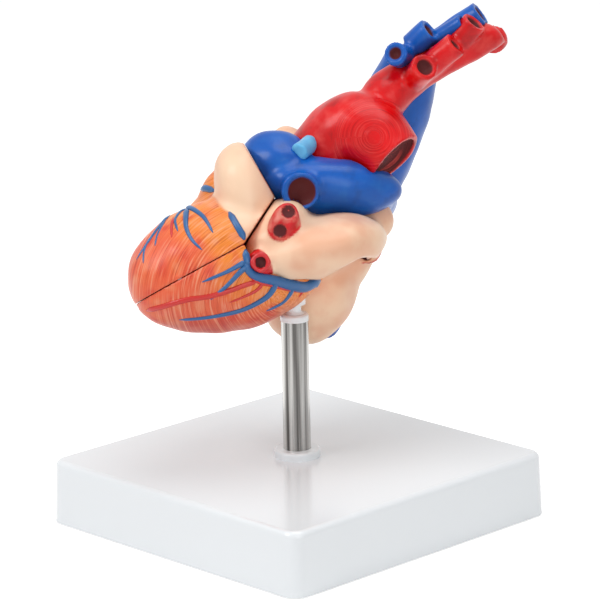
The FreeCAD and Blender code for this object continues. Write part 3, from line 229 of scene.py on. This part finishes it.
def painted(name, pale, dark, strength):
    """PVC under brushed paint. Colour and roughness are on the mesh, and strokes follow the fibres."""
    mat, tree, shader = material(name, 0.33, coat=0.03, Specular_IOR_Level=0.33)
    link = tree.links.new
    paint = tree.nodes.new("ShaderNodeAttribute")
    paint.attribute_name = "paint"
    fibre = tree.nodes.new("ShaderNodeAttribute")
    fibre.attribute_name = "fibre"
    brush = tree.nodes.new("ShaderNodeTexNoise")
    brush.inputs["Scale"].default_value = 1
    brush.inputs["Detail"].default_value = 3
    brush.inputs["Roughness"].default_value = 0.55
    link(fibre.outputs["Vector"], brush.inputs["Vector"])
    below = paint.outputs["Color"]
    for tint, low, high in ((pale, 0.52, 0.68), (dark, 0.46, 0.30)):
        stroke = tree.nodes.new("ShaderNodeMapRange")
        stroke.inputs["From Min"].default_value = low
        stroke.inputs["From Max"].default_value = high
        stroke.inputs["To Max"].default_value = strength
        blend = tree.nodes.new("ShaderNodeMix")
        blend.data_type = "RGBA"
        blend.blend_type = "MIX"
        blend.inputs["B"].default_value = (*tint, 1)
        link(brush.outputs["Fac"], stroke.inputs["Value"])
        link(stroke.outputs["Result"], blend.inputs["Factor"])
        link(below, blend.inputs["A"])
        below = blend.outputs["Result"]
    bump = tree.nodes.new("ShaderNodeBump")
    bump.inputs["Strength"].default_value = 0.5
    bump.inputs["Distance"].default_value = 0.0002
    link(below, shader.inputs["Base Color"])
    link(paint.outputs["Alpha"], shader.inputs["Roughness"])
    link(brush.outputs["Fac"], bump.inputs["Height"])
    link(bump.outputs["Normal"], shader.inputs["Normal"])
    return mat


def speckled(name, base, rough, metallic=0.0, coat=0.0, scale=400.0, swing=0.03, stretch=(1, 1, 1),
             streak=None):
    """A plain finish with a faint unevenness in object space, and streaks of a second colour if given."""
    mat, tree, shader = material(name, rough, coat, metallic)
    link = tree.links.new
    place = tree.nodes.new("ShaderNodeTexCoord")
    scaled = tree.nodes.new("ShaderNodeMapping")
    scaled.inputs["Scale"].default_value = stretch
    cloud = tree.nodes.new("ShaderNodeTexNoise")
    cloud.inputs["Scale"].default_value = scale
    cloud.inputs["Detail"].default_value = 3
    spread = tree.nodes.new("ShaderNodeMapRange")
    spread.inputs["To Min"].default_value = rough - swing
    spread.inputs["To Max"].default_value = rough + swing
    link(place.outputs["Object"], scaled.inputs["Vector"])
    link(scaled.outputs["Vector"], cloud.inputs["Vector"])
    link(cloud.outputs["Fac"], spread.inputs["Value"])
    link(spread.outputs["Result"], shader.inputs["Roughness"])
    if not streak:
        shader.inputs["Base Color"].default_value = (*base, 1)
        return mat
    share = tree.nodes.new("ShaderNodeMapRange")
    share.inputs["From Min"].default_value = 0.38
    share.inputs["From Max"].default_value = 0.62
    blend = tree.nodes.new("ShaderNodeMix")
    blend.data_type = "RGBA"
    blend.inputs["A"].default_value = (*base, 1)
    blend.inputs["B"].default_value = (*streak, 1)
    link(cloud.outputs["Fac"], share.inputs["Value"])
    link(share.outputs["Result"], blend.inputs["Factor"])
    link(blend.outputs["Result"], shader.inputs["Base Color"])
    return mat


# Making meshes and objects

def meshed(name, shell):
    """The bmesh as a new mesh. The bmesh is freed."""
    mesh = bpy.data.meshes.new(name)
    shell.to_mesh(mesh)
    shell.free()
    return mesh


def linked(name, data):
    """A new object in the scene."""
    obj = bpy.data.objects.new(name, data)
    bpy.context.scene.collection.objects.link(obj)
    return obj


def swept(shell, frames, sides):
    """A closed tube: a circle in the first frame, extruded from frame to frame."""
    made = bmesh.ops.create_circle(shell, cap_ends=True, segments=sides, radius=1, matrix=frames[0])
    edges = list({edge for vert in made["verts"] for edge in vert.link_edges})
    for before, after in zip(frames, frames[1:]):
        made = bmesh.ops.extrude_edge_only(shell, edges=edges)["geom"]
        ring = [item for item in made if isinstance(item, bmesh.types.BMVert)]
        edges = [item for item in made if isinstance(item, bmesh.types.BMEdge)]
        bmesh.ops.transform(shell, matrix=after @ before.inverted(), verts=ring)
    bmesh.ops.holes_fill(shell, edges=edges)


def smooth_shaded(mesh):
    """Shades every face of the mesh smooth."""
    mesh.polygons.foreach_set("use_smooth", np.ones(len(mesh.polygons), bool))


# Skins: remeshed copies of the CAD's walls, painted by place

def joined(nodes, swell):
    """One mesh of these nodes' surfaces, each swollen so that neighbours overlap."""
    shell = bmesh.new()
    for node in nodes:
        piece = bmesh.new()
        piece.from_mesh(NODES[node].data)
        bmesh.ops.remove_doubles(piece, verts=piece.verts, dist=1e-6)
        bmesh.ops.recalc_face_normals(piece, faces=piece.faces)
        piece.normal_update()
        for vert in piece.verts:
            vert.co += vert.normal * swell
        part = meshed("part", piece)
        shell.from_mesh(part)
        bpy.data.meshes.remove(part)
    return meshed("joined", shell)


def remeshed(name, mesh, size):
    """The surface as an even skin of small quads, with what overlaps fused."""
    rough = linked(name + "_raw", mesh)
    remesh = rough.modifiers.new("skin", "REMESH")
    remesh.mode = "VOXEL"
    remesh.voxel_size = size
    graph = bpy.context.evaluated_depsgraph_get()
    skin_mesh = bpy.data.meshes.new_from_object(rough.evaluated_get(graph))
    bpy.data.objects.remove(rough)
    skin_mesh.name = name
    skin_mesh.materials.clear()
    return skin_mesh


def relax(mesh, rounds):
    """Smooths the skin's small steps."""
    shell = bmesh.new()
    shell.from_mesh(mesh)
    for _ in range(rounds):
        bmesh.ops.smooth_vert(shell, verts=shell.verts, factor=0.5, use_axis_x=True, use_axis_y=True,
                              use_axis_z=True)
    bmesh.ops.recalc_face_normals(shell, faces=shell.faces)
    shell.to_mesh(mesh)
    shell.free()


def read(mesh, layer="co"):
    """The vertices' places or normals as rows."""
    values = np.empty(len(mesh.vertices) * 3)
    mesh.vertices.foreach_get(layer, values)
    return values.reshape(-1, 3)


def heart_places(mesh):
    """Vertices and normals in the heart frame, in mm."""
    mesh.update()
    places = (read(mesh) - SHIFT) @ BACK.T
    normals = read(mesh, "normal") @ BACK.T
    return places, normals / np.maximum(np.linalg.norm(normals, axis=1, keepdims=True), 1e-9)


def away_from_line(x, z, start, end):
    """Distance to a straight run, and how far along it, from 0 to 1."""
    dx, dz = end[0] - start[0], end[1] - start[1]
    along = np.clip(((x - start[0]) * dx + (z - start[1]) * dz) / (dx * dx + dz * dz), 0, 1)
    return np.hypot(x - start[0] - along * dx, z - start[1] - along * dz), along


def away_from_seam(places):
    """Distance to the seam as seen along y, in mm."""
    x, z = places[:, 0], places[:, 2]
    return np.min([away_from_line(x, z, a, b)[0] for a, b in zip(SEAM, SEAM[1:])], axis=0)


def in_room(places, grow=1.04):
    """Which vertices lie on or in a ventricle's hollow."""
    inside = np.zeros(len(places), bool)
    for middle, axis, length, width, depth in ROOMS:
        turn = Vector((0, 0, 1)).rotation_difference(Vector(axis)).to_matrix().inverted()
        local = (places - np.array(middle)) @ np.array(turn).T
        inside |= ((local / (np.array((width, depth, length)) * grow)) ** 2).sum(1) < 1
    return inside


def ease(value, low, high):
    """0 below low, 1 above high, smooth between."""
    t = np.clip((value - low) / (high - low), 0, 1)
    return t * t * (3 - 2 * t)


def clouds(places, size, seed):
    """Smooth unevenness from -1 to 1 with lumps of that size in mm."""
    off = Vector((seed * 17.3, seed * 5.1, seed * 9.7))
    return np.array([noise.noise(Vector(p) / size + off) for p in places]) * 1.6


def mix(first, second, share):
    """Rows of the first, with a share of the second at each."""
    share = np.asarray(share)[:, None]
    return first * (1 - share) + second * share


def flat(count, value):
    """The same colour in every row."""
    return np.tile(np.array(value[:3], float), (count, 1))


def darken_mouths(places, normals, base, rough, fibre, dark):
    """Colours and dulls the hollow of each sunk mouth, without strokes."""
    for rim, out, radius in MOUTHS:
        way = np.array(out, float) / np.linalg.norm(out)
        off = places - np.array(rim)
        deep = off @ way
        spread = off - deep[:, None] * way
        aside = np.linalg.norm(spread, axis=1)
        inward = (normals * spread).sum(1) < 0.3 * aside
        share = ease(-deep, 0.1, 0.6) * ease(radius + 0.8 - aside, 0.0, 0.3) * inward * (deep > -8)
        base = mix(base, flat(len(places), dark), share)
        rough = rough + (0.75 - rough) * share
        fibre = fibre * (share < 0.05)[:, None]
    return base, rough, fibre


def write_places(mesh, places):
    """Moves the vertices to these places in the heart frame."""
    mesh.vertices.foreach_set("co", (places @ TURN.T + SHIFT).ravel())
    mesh.update()


def filleted(mesh, free, rounds):
    """Fills concave creases between what was joined, as in one casting. Rims and humps stay."""
    edges = np.empty(len(mesh.edges) * 2, np.int64)
    mesh.edges.foreach_get("vertices", edges)
    one, two = edges.reshape(-1, 2).T
    count = len(mesh.vertices)
    degree = np.maximum(np.bincount(one, minlength=count) + np.bincount(two, minlength=count), 1)

    def around(values):
        """The mean of each vertex's neighbours."""
        return np.stack([np.bincount(one, values[two, k], count) + np.bincount(two, values[one, k], count)
                         for k in range(values.shape[1])], 1) / degree[:, None]

    for _ in range(rounds):
        places, normals = heart_places(mesh)
        off = around(places) - places
        hollow = ease((off * normals).sum(1), 0.002, 0.03)[:, None]
        share = around(around(hollow)) * free[:, None]
        write_places(mesh, places + off * share * 0.9)


def skin(name, nodes, looks, paint, mat, body="heart", seed=1, rounds=2,
         lumps=9.0, depth=1.0, grain=1.0, fillet=0, presses=()):
    """Joins and remeshes nodes, models their unevenness, paints them and presses them outward in places."""
    swell = SWELL if len(nodes) > 1 else 0.0
    mesh = remeshed(name, joined(nodes, swell / MM), looks.grain * grain)
    relax(mesh, rounds)
    places, _ = heart_places(mesh)
    free = ease(away_from_seam(places), SEAM_KEPT, SEAM_FREE) * ~in_room(places, 1.02)
    if fillet:
        filleted(mesh, free, fillet)
    places, normals = heart_places(mesh)
    push = looks.overlap * MM + looks.relief * MM * depth * clouds(places, lumps, seed) - swell
    if body == "front_wall":
        push = push - looks.overlap * MM
    moved = places + normals * (push * free)[:, None]
    edge = away_from_seam(places) < SEAM_FREE
    if edge.any():
        tree = node_tree(nodes)
        sharp = np.array([tree.find_nearest(Vector(p))[0] for p in places[edge]])
        moved[edge] = mix(sharp, moved[edge], free[edge])
    write_places(mesh, moved)
    places, normals = heart_places(mesh)
    base, rough, fibre = paint(places, normals, looks)
    outer = (normals[:, 1] < 0.2) * (places[:, 1] < -12)
    for (x, z), way, reach in presses:
        near = np.exp(-((places[:, 0] - x) ** 2 + (places[:, 2] - z) ** 2) / (2 * reach ** 2)) * outer
        places = places + near[:, None] * np.array(way)
    if presses:
        write_places(mesh, behind_flank(places, outer))
    for label, kind, key, values in (("paint", "FLOAT_COLOR", "color", np.c_[base, rough]),
                                     ("fibre", "FLOAT_VECTOR", "vector", fibre)):
        layer = mesh.attributes.new(label, kind, "POINT")
        layer.data.foreach_set(key, np.ascontiguousarray(values, dtype=np.float32).ravel())
    mesh.materials.append(mat)
    smooth_shaded(mesh)
    obj = linked(name, mesh)
    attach(obj, body)
    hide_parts(*nodes)
    return obj


def behind_flank(places, outer, gap=0.35):
    """Keeps the outer side clear of the front half, across the seam's middle run."""
    (ax, az), (bx, bz) = SEAM[1:3]
    across = np.array((bz - az, 0, ax - bx)) / math.hypot(bx - ax, bz - az)
    short = np.maximum(gap - (places - np.array((ax, 0, az))) @ across, 0) * outer * (places[:, 2] > az)
    return places + short[:, None] * across


def node_tree(nodes):
    """A search tree over these nodes' own surfaces, in the heart frame."""
    verts, faces = [], []
    for node in nodes:
        data, start = NODES[node].data, len(verts)
        verts += [TO_HEART @ v.co for v in data.vertices]
        faces += [[start + v for v in face.vertices] for face in data.polygons]
    return BVHTree.FromPolygons(verts, faces)


def nearness(places, node):
    """How far each place is from the node's own surface, in mm."""
    tree = node_tree([node])
    return np.array([tree.find_nearest(Vector(p))[3] for p in places])


def muscle_paint(places, normals, looks):
    """Orange and salmon muscle with fine hoops, a fleshy auricle foot, dark rooms and parting faces."""
    count = len(places)
    x, y, z = places.T
    wide, fine = clouds(places, 15.0, 3), clouds(places, 5.0, 4)
    base = flat(count, looks.muscle)
    groove = np.min([away_from_line(x, z, a, b)[0] for a, b in GROOVES], axis=0)
    warm = np.clip(ease(17 - groove + 7 * wide, 0, 15) + 0.2 * fine, 0, 1) * 0.92
    base = mix(base, flat(count, looks.muscle_warm), warm)
    pale = np.clip(ease(fine + wide * 0.7, 0.35, 1.1), 0, 1) * 0.5
    base = mix(base, flat(count, looks.muscle_pale), pale)
    red = np.clip(ease(-fine - wide * 0.5, 0.3, 1.0), 0, 1) * 0.55
    base = mix(base, flat(count, looks.muscle_red), red)
    # Painted shade: the muscle turns darker and more violet towards the bottom of the heart.
    low = ease(-z + 1 + 4 * wide, 0, 10) * 0.5
    base = mix(base, flat(count, looks.muscle_shade), low)
    rough = np.full(count, 0.34)
    section = ease(0.9 - away_from_seam(places), 0, 0.4)
    side, flank = (np.abs(normals @ np.array(way)) > 0.8 for way in RUN_FACES)
    base = mix(base, flat(count, looks.section), section * (side | flank))
    room = in_room(places).astype(float)
    base = mix(base, flat(count, looks.room) * (1 + 0.25 * fine[:, None]), room)
    # Hoops sweep round the long axis.
    arc = np.hypot(x - HOOP_X, (z - HOOP_Z) * 1.15)
    bend = np.arctan2(z - HOOP_Z, -(x - HOOP_X))
    fibre = np.c_[arc * 1.7, bend * 2.2 + y * 0.03, np.zeros(count)]
    return base, rough, fibre


def front_paint(places, normals, looks):
    """The front half: muscle, and the auricle with its fleshy foot down to the seam."""
    base, rough, fibre = muscle_paint(places, normals, looks)
    own = nearness(places, "left_auricle") - nearness(places, "front_ventricle_wall")
    x, y, z = places.T
    (ax, az), (bx, bz) = FOOT_EDGE
    past = ((x - ax) * (az - bz) + (z - az) * (bx - ax)) / math.hypot(bx - ax, bz - az)
    foot = ease(past + 1.2 * clouds(places, 6.0, 9), -0.4, 0.8) * ease(-y, 6, 12) * ease(46 - z, 0, 4)
    outer = 1 - in_room(places)
    share = np.maximum(ease(-own, -0.2, 0.5), foot) * outer * ease(away_from_seam(places), 0.2, 0.7)
    flesh, _, _ = flesh_tone(places, looks)
    return mix(base, flesh, share), rough + 0.04 * share, fibre * (share < 0.5)[:, None]


def flesh_tone(places, looks):
    """Blushed flesh: (colour, roughness, fibre)."""
    count = len(places)
    wide, fine = clouds(places, 14.0, 7), clouds(places, 4.5, 8)
    base = mix(flat(count, looks.flesh), flat(count, looks.flesh_warm),
               np.clip(ease(0.5 + wide * 0.9 + fine * 0.35, 0.2, 1.3), 0, 1) * 0.65)
    base = mix(base, flat(count, looks.flesh_light), ease(-wide, 0.2, 0.9) * 0.5)
    return base, np.full(count, 0.38), places * 0.12


def atria_paint(places, normals, looks):
    """Flesh, with the red rims of the lung veins."""
    base, rough, fibre = flesh_tone(places, looks)
    flesh = nearness(places, "left_atrium")
    flesh = np.minimum(flesh, nearness(places, "right_atrium"))
    tint = flat(len(places), looks.lung_vein) * (1 + 0.2 * clouds(places, 3.0, 6))[:, None]
    for node, mouth in zip(LUNG_VEINS, (None, None, *MOUTHS[-2:])):
        share = ease(flesh - nearness(places, node), 0.1, 0.6)
        if mouth:
            way = np.array(mouth[1], float) / np.linalg.norm(mouth[1])
            share = share * ease((places - np.array(mouth[0])) @ way, -1.6, -0.8)
        base = mix(base, tint, share)
    return darken_mouths(places, normals, base, rough, fibre, looks.lumen)


def vessel_paint(tint, shade, share):
    """A paint in the look of that name, clouded with its shade."""
    def paint(places, normals, looks):
        count = len(places)
        first = flat(count, getattr(looks, tint))
        cloudy = np.clip(0.35 + 0.7 * clouds(places, 9.0, 5), 0, 1)
        base = mix(first, first * np.array(shade), cloudy * share)
        return darken_mouths(places, normals, base, np.full(count, 0.3), places * 0.12, looks.lumen)
    return paint


def artery_paint(places, normals, looks):
    """Red, with fine rings on the side of the arch."""
    base, rough, fibre = vessel_paint("artery", ARTERY_SHADE, 0.45)(places, normals, looks)
    off = places - np.array(RING_MIDDLE)
    ring = np.hypot(off[:, 0], off[:, 2])
    near = ease(ring, 2.0, 4.0) * ease(15 - ring, 0, 4) * ease(-normals[:, 1], 0.2, 0.5)
    spun = np.c_[ring * 1.9, np.arctan2(off[:, 2], off[:, 0]) * 0.5, np.zeros(len(ring))]
    return base, rough, mix(fibre, spun, near)


def lung_vein_rim(looks):
    """The lower left lung vein's thick rim, whole also where the ventricle meets it."""
    shell = bmesh.new()
    swept(shell, [HEART @ Matrix.Translation((RIM_X, y, RIM_Z)) @ Matrix.Rotation(math.radians(90), 4, "X")
                  @ Matrix.Scale(half, 4) for half, y in RIM_RINGS], 32)
    bmesh.ops.recalc_face_normals(shell, faces=shell.faces)
    for vert in shell.verts:
        vert.co += vert.normal * noise.noise(vert.co * 420) * 0.0006
    for face in shell.faces:
        middle = TO_HEART @ face.calc_center_median()
        face.smooth = True
        aside = math.hypot(middle.x - RIM_X, middle.z - RIM_Z)
        face.material_index = int(aside < RIM_HOLLOW and middle.y < RIM_FOOT)
    mesh = meshed("lung_vein_rim", shell)
    mesh.materials.append(speckled("lung_vein_red", looks.lung_vein, 0.34, coat=0.1))
    mesh.materials.append(speckled("lumen_dark", looks.lumen, 0.75))
    obj = linked("lung_vein_rim", mesh)
    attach(obj, "heart")


# Coronary vessels: tapering half-sunk tubes laid on the skins

def smooth_line(points, steps=6):
    """Catmull-Rom through the points."""
    pts = [Vector(p) for p in points]
    pts = [2 * pts[0] - pts[1], *pts, 2 * pts[-1] - pts[-2]]
    line = []
    for a, b, c, d in zip(pts, pts[1:], pts[2:], pts[3:]):
        for step in range(steps):
            t = step / steps
            line.append(0.5 * (2 * b + (c - a) * t + (2 * a - 5 * b + 4 * c - d) * t * t
                               + (3 * b - a - 3 * c + d) * t ** 3))
    return line + [pts[-2]]


def surface_tree(objs):
    """A search tree over these skins, in the heart frame, and which skin each face is from."""
    verts, faces, owner = [], [], []
    for index, obj in enumerate(objs):
        places, _ = heart_places(obj.data)
        start = len(verts)
        verts.extend(map(tuple, places))
        for face in obj.data.polygons:
            faces.append([start + v for v in face.vertices])
            owner.append(index)
    return BVHTree.FromPolygons(verts, faces), owner


def laid_runs(tree, owner, stroke, side):
    """The stroke as runs on one skin each: (skin, [(place, normal, half width), ...])."""
    points, first, last = stroke
    line = smooth_line(points)
    runs = []
    for index, point in enumerate(line):
        share = index / (len(line) - 1)
        start = Vector((point.x, 90 * side, point.y))
        hit, normal, face, _ = tree.ray_cast(start, Vector((0, -side, 0)))
        if hit is None:
            continue
        half = first + (last - first) * share
        if not runs or runs[-1][0] != owner[face] or (hit - runs[-1][1][-1][0]).length > 6:
            runs.append((owner[face], []))
        runs[-1][1].append((hit, normal, half))
    return [run for run in runs if len(run[1]) > 2]


def add_tube(shell, run):
    """A flattened tube, half sunk, tapering at both ends."""
    frames = []
    for index, (place, normal, half) in enumerate(run):
        ahead = run[min(index + 1, len(run) - 1)][0] - run[max(index - 1, 0)][0]
        across = ahead.cross(normal).normalized()
        half = half * BOLD * min(1.0, 0.35 + 0.65 * min(index, len(run) - 1 - index) / 2)
        turn = Matrix((across * half, normal * half * 0.7, across.cross(normal) * half))
        frames.append(HEART @ Matrix.Translation(place) @ turn.transposed().to_4x4())
    swept(shell, frames, 10)


def coronary(name, strokes, tree, owner, mat):
    """One object per body that these strokes cross."""
    shells = {}
    for stroke, side in strokes:
        for index, run in laid_runs(tree, owner, stroke, side):
            add_tube(shells.setdefault(index, bmesh.new()), run)
    for index, shell in shells.items():
        bmesh.ops.recalc_face_normals(shell, faces=shell.faces)
        mesh = meshed(f"{name}_{index}", shell)
        smooth_shaded(mesh)
        mesh.materials.append(mat)
        obj = linked(f"{name}_{'rear' if index == 0 else 'front'}", mesh)
        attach(obj, "heart" if index == 0 else "front_wall")


# Operators

class HeartOperator:
    """What all of them share."""
    bl_options = {"REGISTER", "UNDO"}


class HEART_OT_stand(HeartOperator, bpy.types.Operator):
    """Finish the base, post and spigot"""
    bl_idname = "heart.stand"
    bl_label = "Stand"

    def execute(self, context):
        looks = context.scene.heart_looks
        white = speckled("white_gloss", looks.white, 0.22, coat=0.4, scale=900, swing=0.03)
        # The post's dark vertical streaks are partly its brushing and partly painted reflection of dark
        # surroundings in the polished tube.
        steel = speckled("brushed_post", (0.62, 0.61, 0.59), 0.26, metallic=1.0, scale=400, swing=0.06,
                         stretch=(1, 1, 0.012), streak=(0.11, 0.105, 0.10))
        zinc = speckled("zinc", (0.55, 0.56, 0.58), 0.38, metallic=1.0)
        rubber = speckled("foot_rubber", (0.02, 0.02, 0.022), 0.8)
        nickel = speckled("magnet_nickel", (0.6, 0.6, 0.6), 0.18, metallic=1.0)
        for mat, names in ((white, ("base_plate", "base_collar", "post_cap", "spigot_pin", "socket_bush")),
                           (steel, ("post_tube",)), (rubber, ("base_feet",)),
                           (zinc, ("tie_rod", "clamp_washer", "clamp_nut", "locating_pins")),
                           (nickel, ("rear_magnets", "front_magnets"))):
            for name in names:
                put_on(NODES[name], mat)
        return {"FINISHED"}


def glow_when_seen(tree, socket, unseen, seen):
    """Sets a strength that differs for rays from the camera, off gloss or through glass."""
    path = tree.nodes.new("ShaderNodeLightPath")
    total = path.outputs["Is Camera Ray"]
    for ray in ("Is Glossy Ray", "Is Transmission Ray"):
        both = tree.nodes.new("ShaderNodeMath")
        both.operation = "MAXIMUM"
        tree.links.new(total, both.inputs[0])
        tree.links.new(path.outputs[ray], both.inputs[1])
        total = both.outputs["Value"]
    spread = tree.nodes.new("ShaderNodeMapRange")
    spread.inputs["To Min"].default_value = unseen
    spread.inputs["To Max"].default_value = seen
    tree.links.new(total, spread.inputs["Value"])
    tree.links.new(spread.outputs["Result"], socket)


def white_paper():
    """A matt floor that looks white to the camera and in reflections, and keeps the shadow."""
    mat, tree, shader = material("paper", 0.9)
    shader.inputs["Base Color"].default_value = (0.86, 0.86, 0.86, 1)
    shader.inputs["Emission Color"].default_value = (1, 1, 1, 1)
    glow_when_seen(tree, shader.inputs["Emission Strength"], *PAPER_GLOW)
    return mat


def put_on(obj, mat):
    """The material in every slot of this object."""
    if not obj.material_slots:
        obj.data.materials.append(mat)
    for place in obj.material_slots:
        place.link = "OBJECT"
        place.material = mat


class HEART_OT_ventricles(HeartOperator, bpy.types.Operator):
    """Skin and paint both halves of the ventricles, and lay the coronary vessels on them"""
    bl_idname = "heart.ventricles"
    bl_label = "Ventricles"

    def execute(self, context):
        looks = context.scene.heart_looks
        mat = painted("muscle_paint", looks.stroke_pale, looks.stroke_dark, 0.6)
        rear = skin("rear_muscle", ["rear_ventricle_wall"], looks, muscle_paint, mat,
                    "heart", 2, fillet=10)
        front = skin("front_muscle", ["front_ventricle_wall", "left_auricle"], looks, front_paint, mat,
                     "front_wall", 2, rounds=3, fillet=60)
        tree, owner = surface_tree([rear, front])
        blue = speckled("coronary_vein", looks.coronary_vein, 0.34, coat=0.2)
        red = speckled("coronary_artery", looks.coronary_artery, 0.34, coat=0.2)
        near, far = -1, 1
        coronary("coronary_veins", [(s, near) for s in VEINS_SEEN] + [(s, far) for s in VEINS_FAR],
                 tree, owner, blue)
        coronary("coronary_arteries", [(s, near) for s in ARTERIES_SEEN] + [(s, far) for s in ARTERIES_FAR],
                 tree, owner, red)
        return {"FINISHED"}


class HEART_OT_atria(HeartOperator, bpy.types.Operator):
    """Skin and paint the atria and the auricles"""
    bl_idname = "heart.atria"
    bl_label = "Atria and auricles"

    def execute(self, context):
        looks = context.scene.heart_looks
        mat = painted("flesh_paint", looks.flesh_light, looks.flesh_warm, 0.25)
        skin("atria", FLESH + LUNG_VEINS, looks, atria_paint, mat, seed=11, rounds=4, lumps=11.0, depth=1.3,
             grain=0.9, fillet=40, presses=ATRIUM_PRESSES)
        lung_vein_rim(looks)
        return {"FINISHED"}


class HEART_OT_vessels(HeartOperator, bpy.types.Operator):
    """Skin and paint the arteries and veins"""
    bl_idname = "heart.vessels"
    bl_label = "Great vessels"

    def execute(self, context):
        looks = context.scene.heart_looks
        red = painted("artery_paint", linear(236, 80, 72), linear(116, 4, 10), 0.5)
        blue = painted("vein_paint", linear(40, 120, 200), linear(4, 40, 100), 0.3)
        skin("arteries", ARTERIES, looks, artery_paint, red,
             seed=30, lumps=7.0, depth=0.6, rounds=3, grain=0.72, fillet=60)
        vein_paint = vessel_paint("vein", VEIN_SHADE, 0.5)
        skin("great_veins", VEINS[:5], looks, vein_paint, blue,
             seed=31, lumps=7.0, depth=0.6, rounds=3, grain=0.72, fillet=60)
        skin("lower_vein", VEINS[5:], looks, vein_paint, blue,
             seed=32, lumps=7.0, depth=0.6, grain=0.8)
        skin("lung_arteries", PULMONARY, looks, vein_paint, blue,
             seed=33, lumps=9.0, depth=0.9, rounds=3, grain=0.8, fillet=80)
        ligament_paint = vessel_paint("ligament", LIGAMENT_SHADE, 0.4)
        skin("ligament", ["ligamentum_arteriosum"], looks, ligament_paint, blue,
             seed=34, lumps=5.0, depth=0.4, rounds=12, grain=0.6)
        return {"FINISHED"}


class HEART_OT_inner(HeartOperator, bpy.types.Operator):
    """Finish the valves, papillary muscles and cords inside the rooms"""
    bl_idname = "heart.inner"
    bl_label = "Inside"

    def execute(self, context):
        looks = context.scene.heart_looks
        cream = speckled("leaflet_cream", looks.valve, 0.42, coat=0.2)
        dark = speckled("papillary_red", looks.room, 0.4, coat=0.2)
        for name in ("mitral_valve", "tricuspid_valve", "aortic_valve", "pulmonary_valve",
                     "chordae_tendineae"):
            put_on(NODES[name], cream)
        put_on(NODES["papillary_muscles"], dark)
        return {"FINISHED"}


class HEART_OT_stage(HeartOperator, bpy.types.Operator):
    """Set out the floor, the lights and the camera"""
    bl_idname = "heart.stage"
    bl_label = "Stage"

    def execute(self, context):
        scene = context.scene
        paper = white_paper()
        shell = bmesh.new()
        bmesh.ops.create_grid(shell, x_segments=1, y_segments=1, size=6.0)
        mesh = meshed("floor", shell)
        mesh.materials.append(paper)
        floor = linked("floor", mesh)
        world = bpy.data.worlds.new("studio")
        world.use_nodes = True
        sky = world.node_tree.nodes["Background"]
        sky.inputs["Color"].default_value = (1, 1, 1, 1)
        glow_when_seen(world.node_tree, sky.inputs["Strength"], *WORLD_GLOW)
        scene.world = world
        self.aim_camera(scene)
        for name, at, size, power in LAMPS:
            data = bpy.data.lights.new(name, "AREA")
            data.shape = "DISK"
            data.size = size
            data.energy = power
            lamp = linked(name, data)
            lamp.location = at
            lamp.rotation_euler = (Vector(LAMP_AIM) - Vector(at)).to_track_quat("-Z", "Y").to_euler()
        scene.view_settings.view_transform = "Standard"
        return {"FINISHED"}

    def aim_camera(self, scene):
        """Adds the camera, turned and rolled about the point it looks at."""
        azimuth, elevation, roll = (math.radians(v) for v in CAMERA_TURN)
        back = Vector((math.sin(azimuth) * math.cos(elevation), -math.cos(azimuth) * math.cos(elevation),
                       math.sin(elevation)))
        right = Vector((math.cos(azimuth), math.sin(azimuth), 0))
        up = back.cross(right)
        across = right * math.cos(roll) + up * math.sin(roll)
        above = up * math.cos(roll) - right * math.sin(roll)
        target = right * CAMERA_RIGHT + Vector((0, 0, CAMERA_UP))
        data = bpy.data.cameras.new("camera")
        data.sensor_width = CAMERA_SENSOR
        data.lens = CAMERA_LENS
        data.clip_end = 20
        camera = linked("camera", data)
        place = Matrix((across, above, back)).transposed().to_4x4()
        place.translation = target + back * CAMERA_AWAY
        camera.matrix_world = place
        scene.camera = camera


class HEART_PT_panel(bpy.types.Panel):
    """Shows the looks and the operators in the sidebar"""
    bl_idname = "HEART_PT_panel"
    bl_label = "Heart"
    bl_space_type = "VIEW_3D"
    bl_region_type = "UI"
    bl_category = "Heart"

    def draw(self, context):
        for name in HeartLooks.__annotations__:
            self.layout.prop(context.scene.heart_looks, name)
        for operator in OPERATORS:
            self.layout.operator(operator.bl_idname)


OPERATORS = (HEART_OT_stage, HEART_OT_stand, HEART_OT_ventricles, HEART_OT_atria, HEART_OT_vessels,
             HEART_OT_inner)
CLASSES = (HeartLooks, *OPERATORS, HEART_PT_panel)


def register():
    for item in CLASSES:
        bpy.utils.register_class(item)
    bpy.types.Scene.heart_looks = PointerProperty(type=HeartLooks)


def unregister():
    del bpy.types.Scene.heart_looks
    for item in reversed(CLASSES):
        bpy.utils.unregister_class(item)


def main():
    """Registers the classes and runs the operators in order."""
    register()
    bpy.ops.heart.stage()
    bpy.ops.heart.stand()
    bpy.ops.heart.ventricles()
    bpy.ops.heart.atria()
    bpy.ops.heart.vessels()
    bpy.ops.heart.inner()


if __name__ == "__main__":
    main()
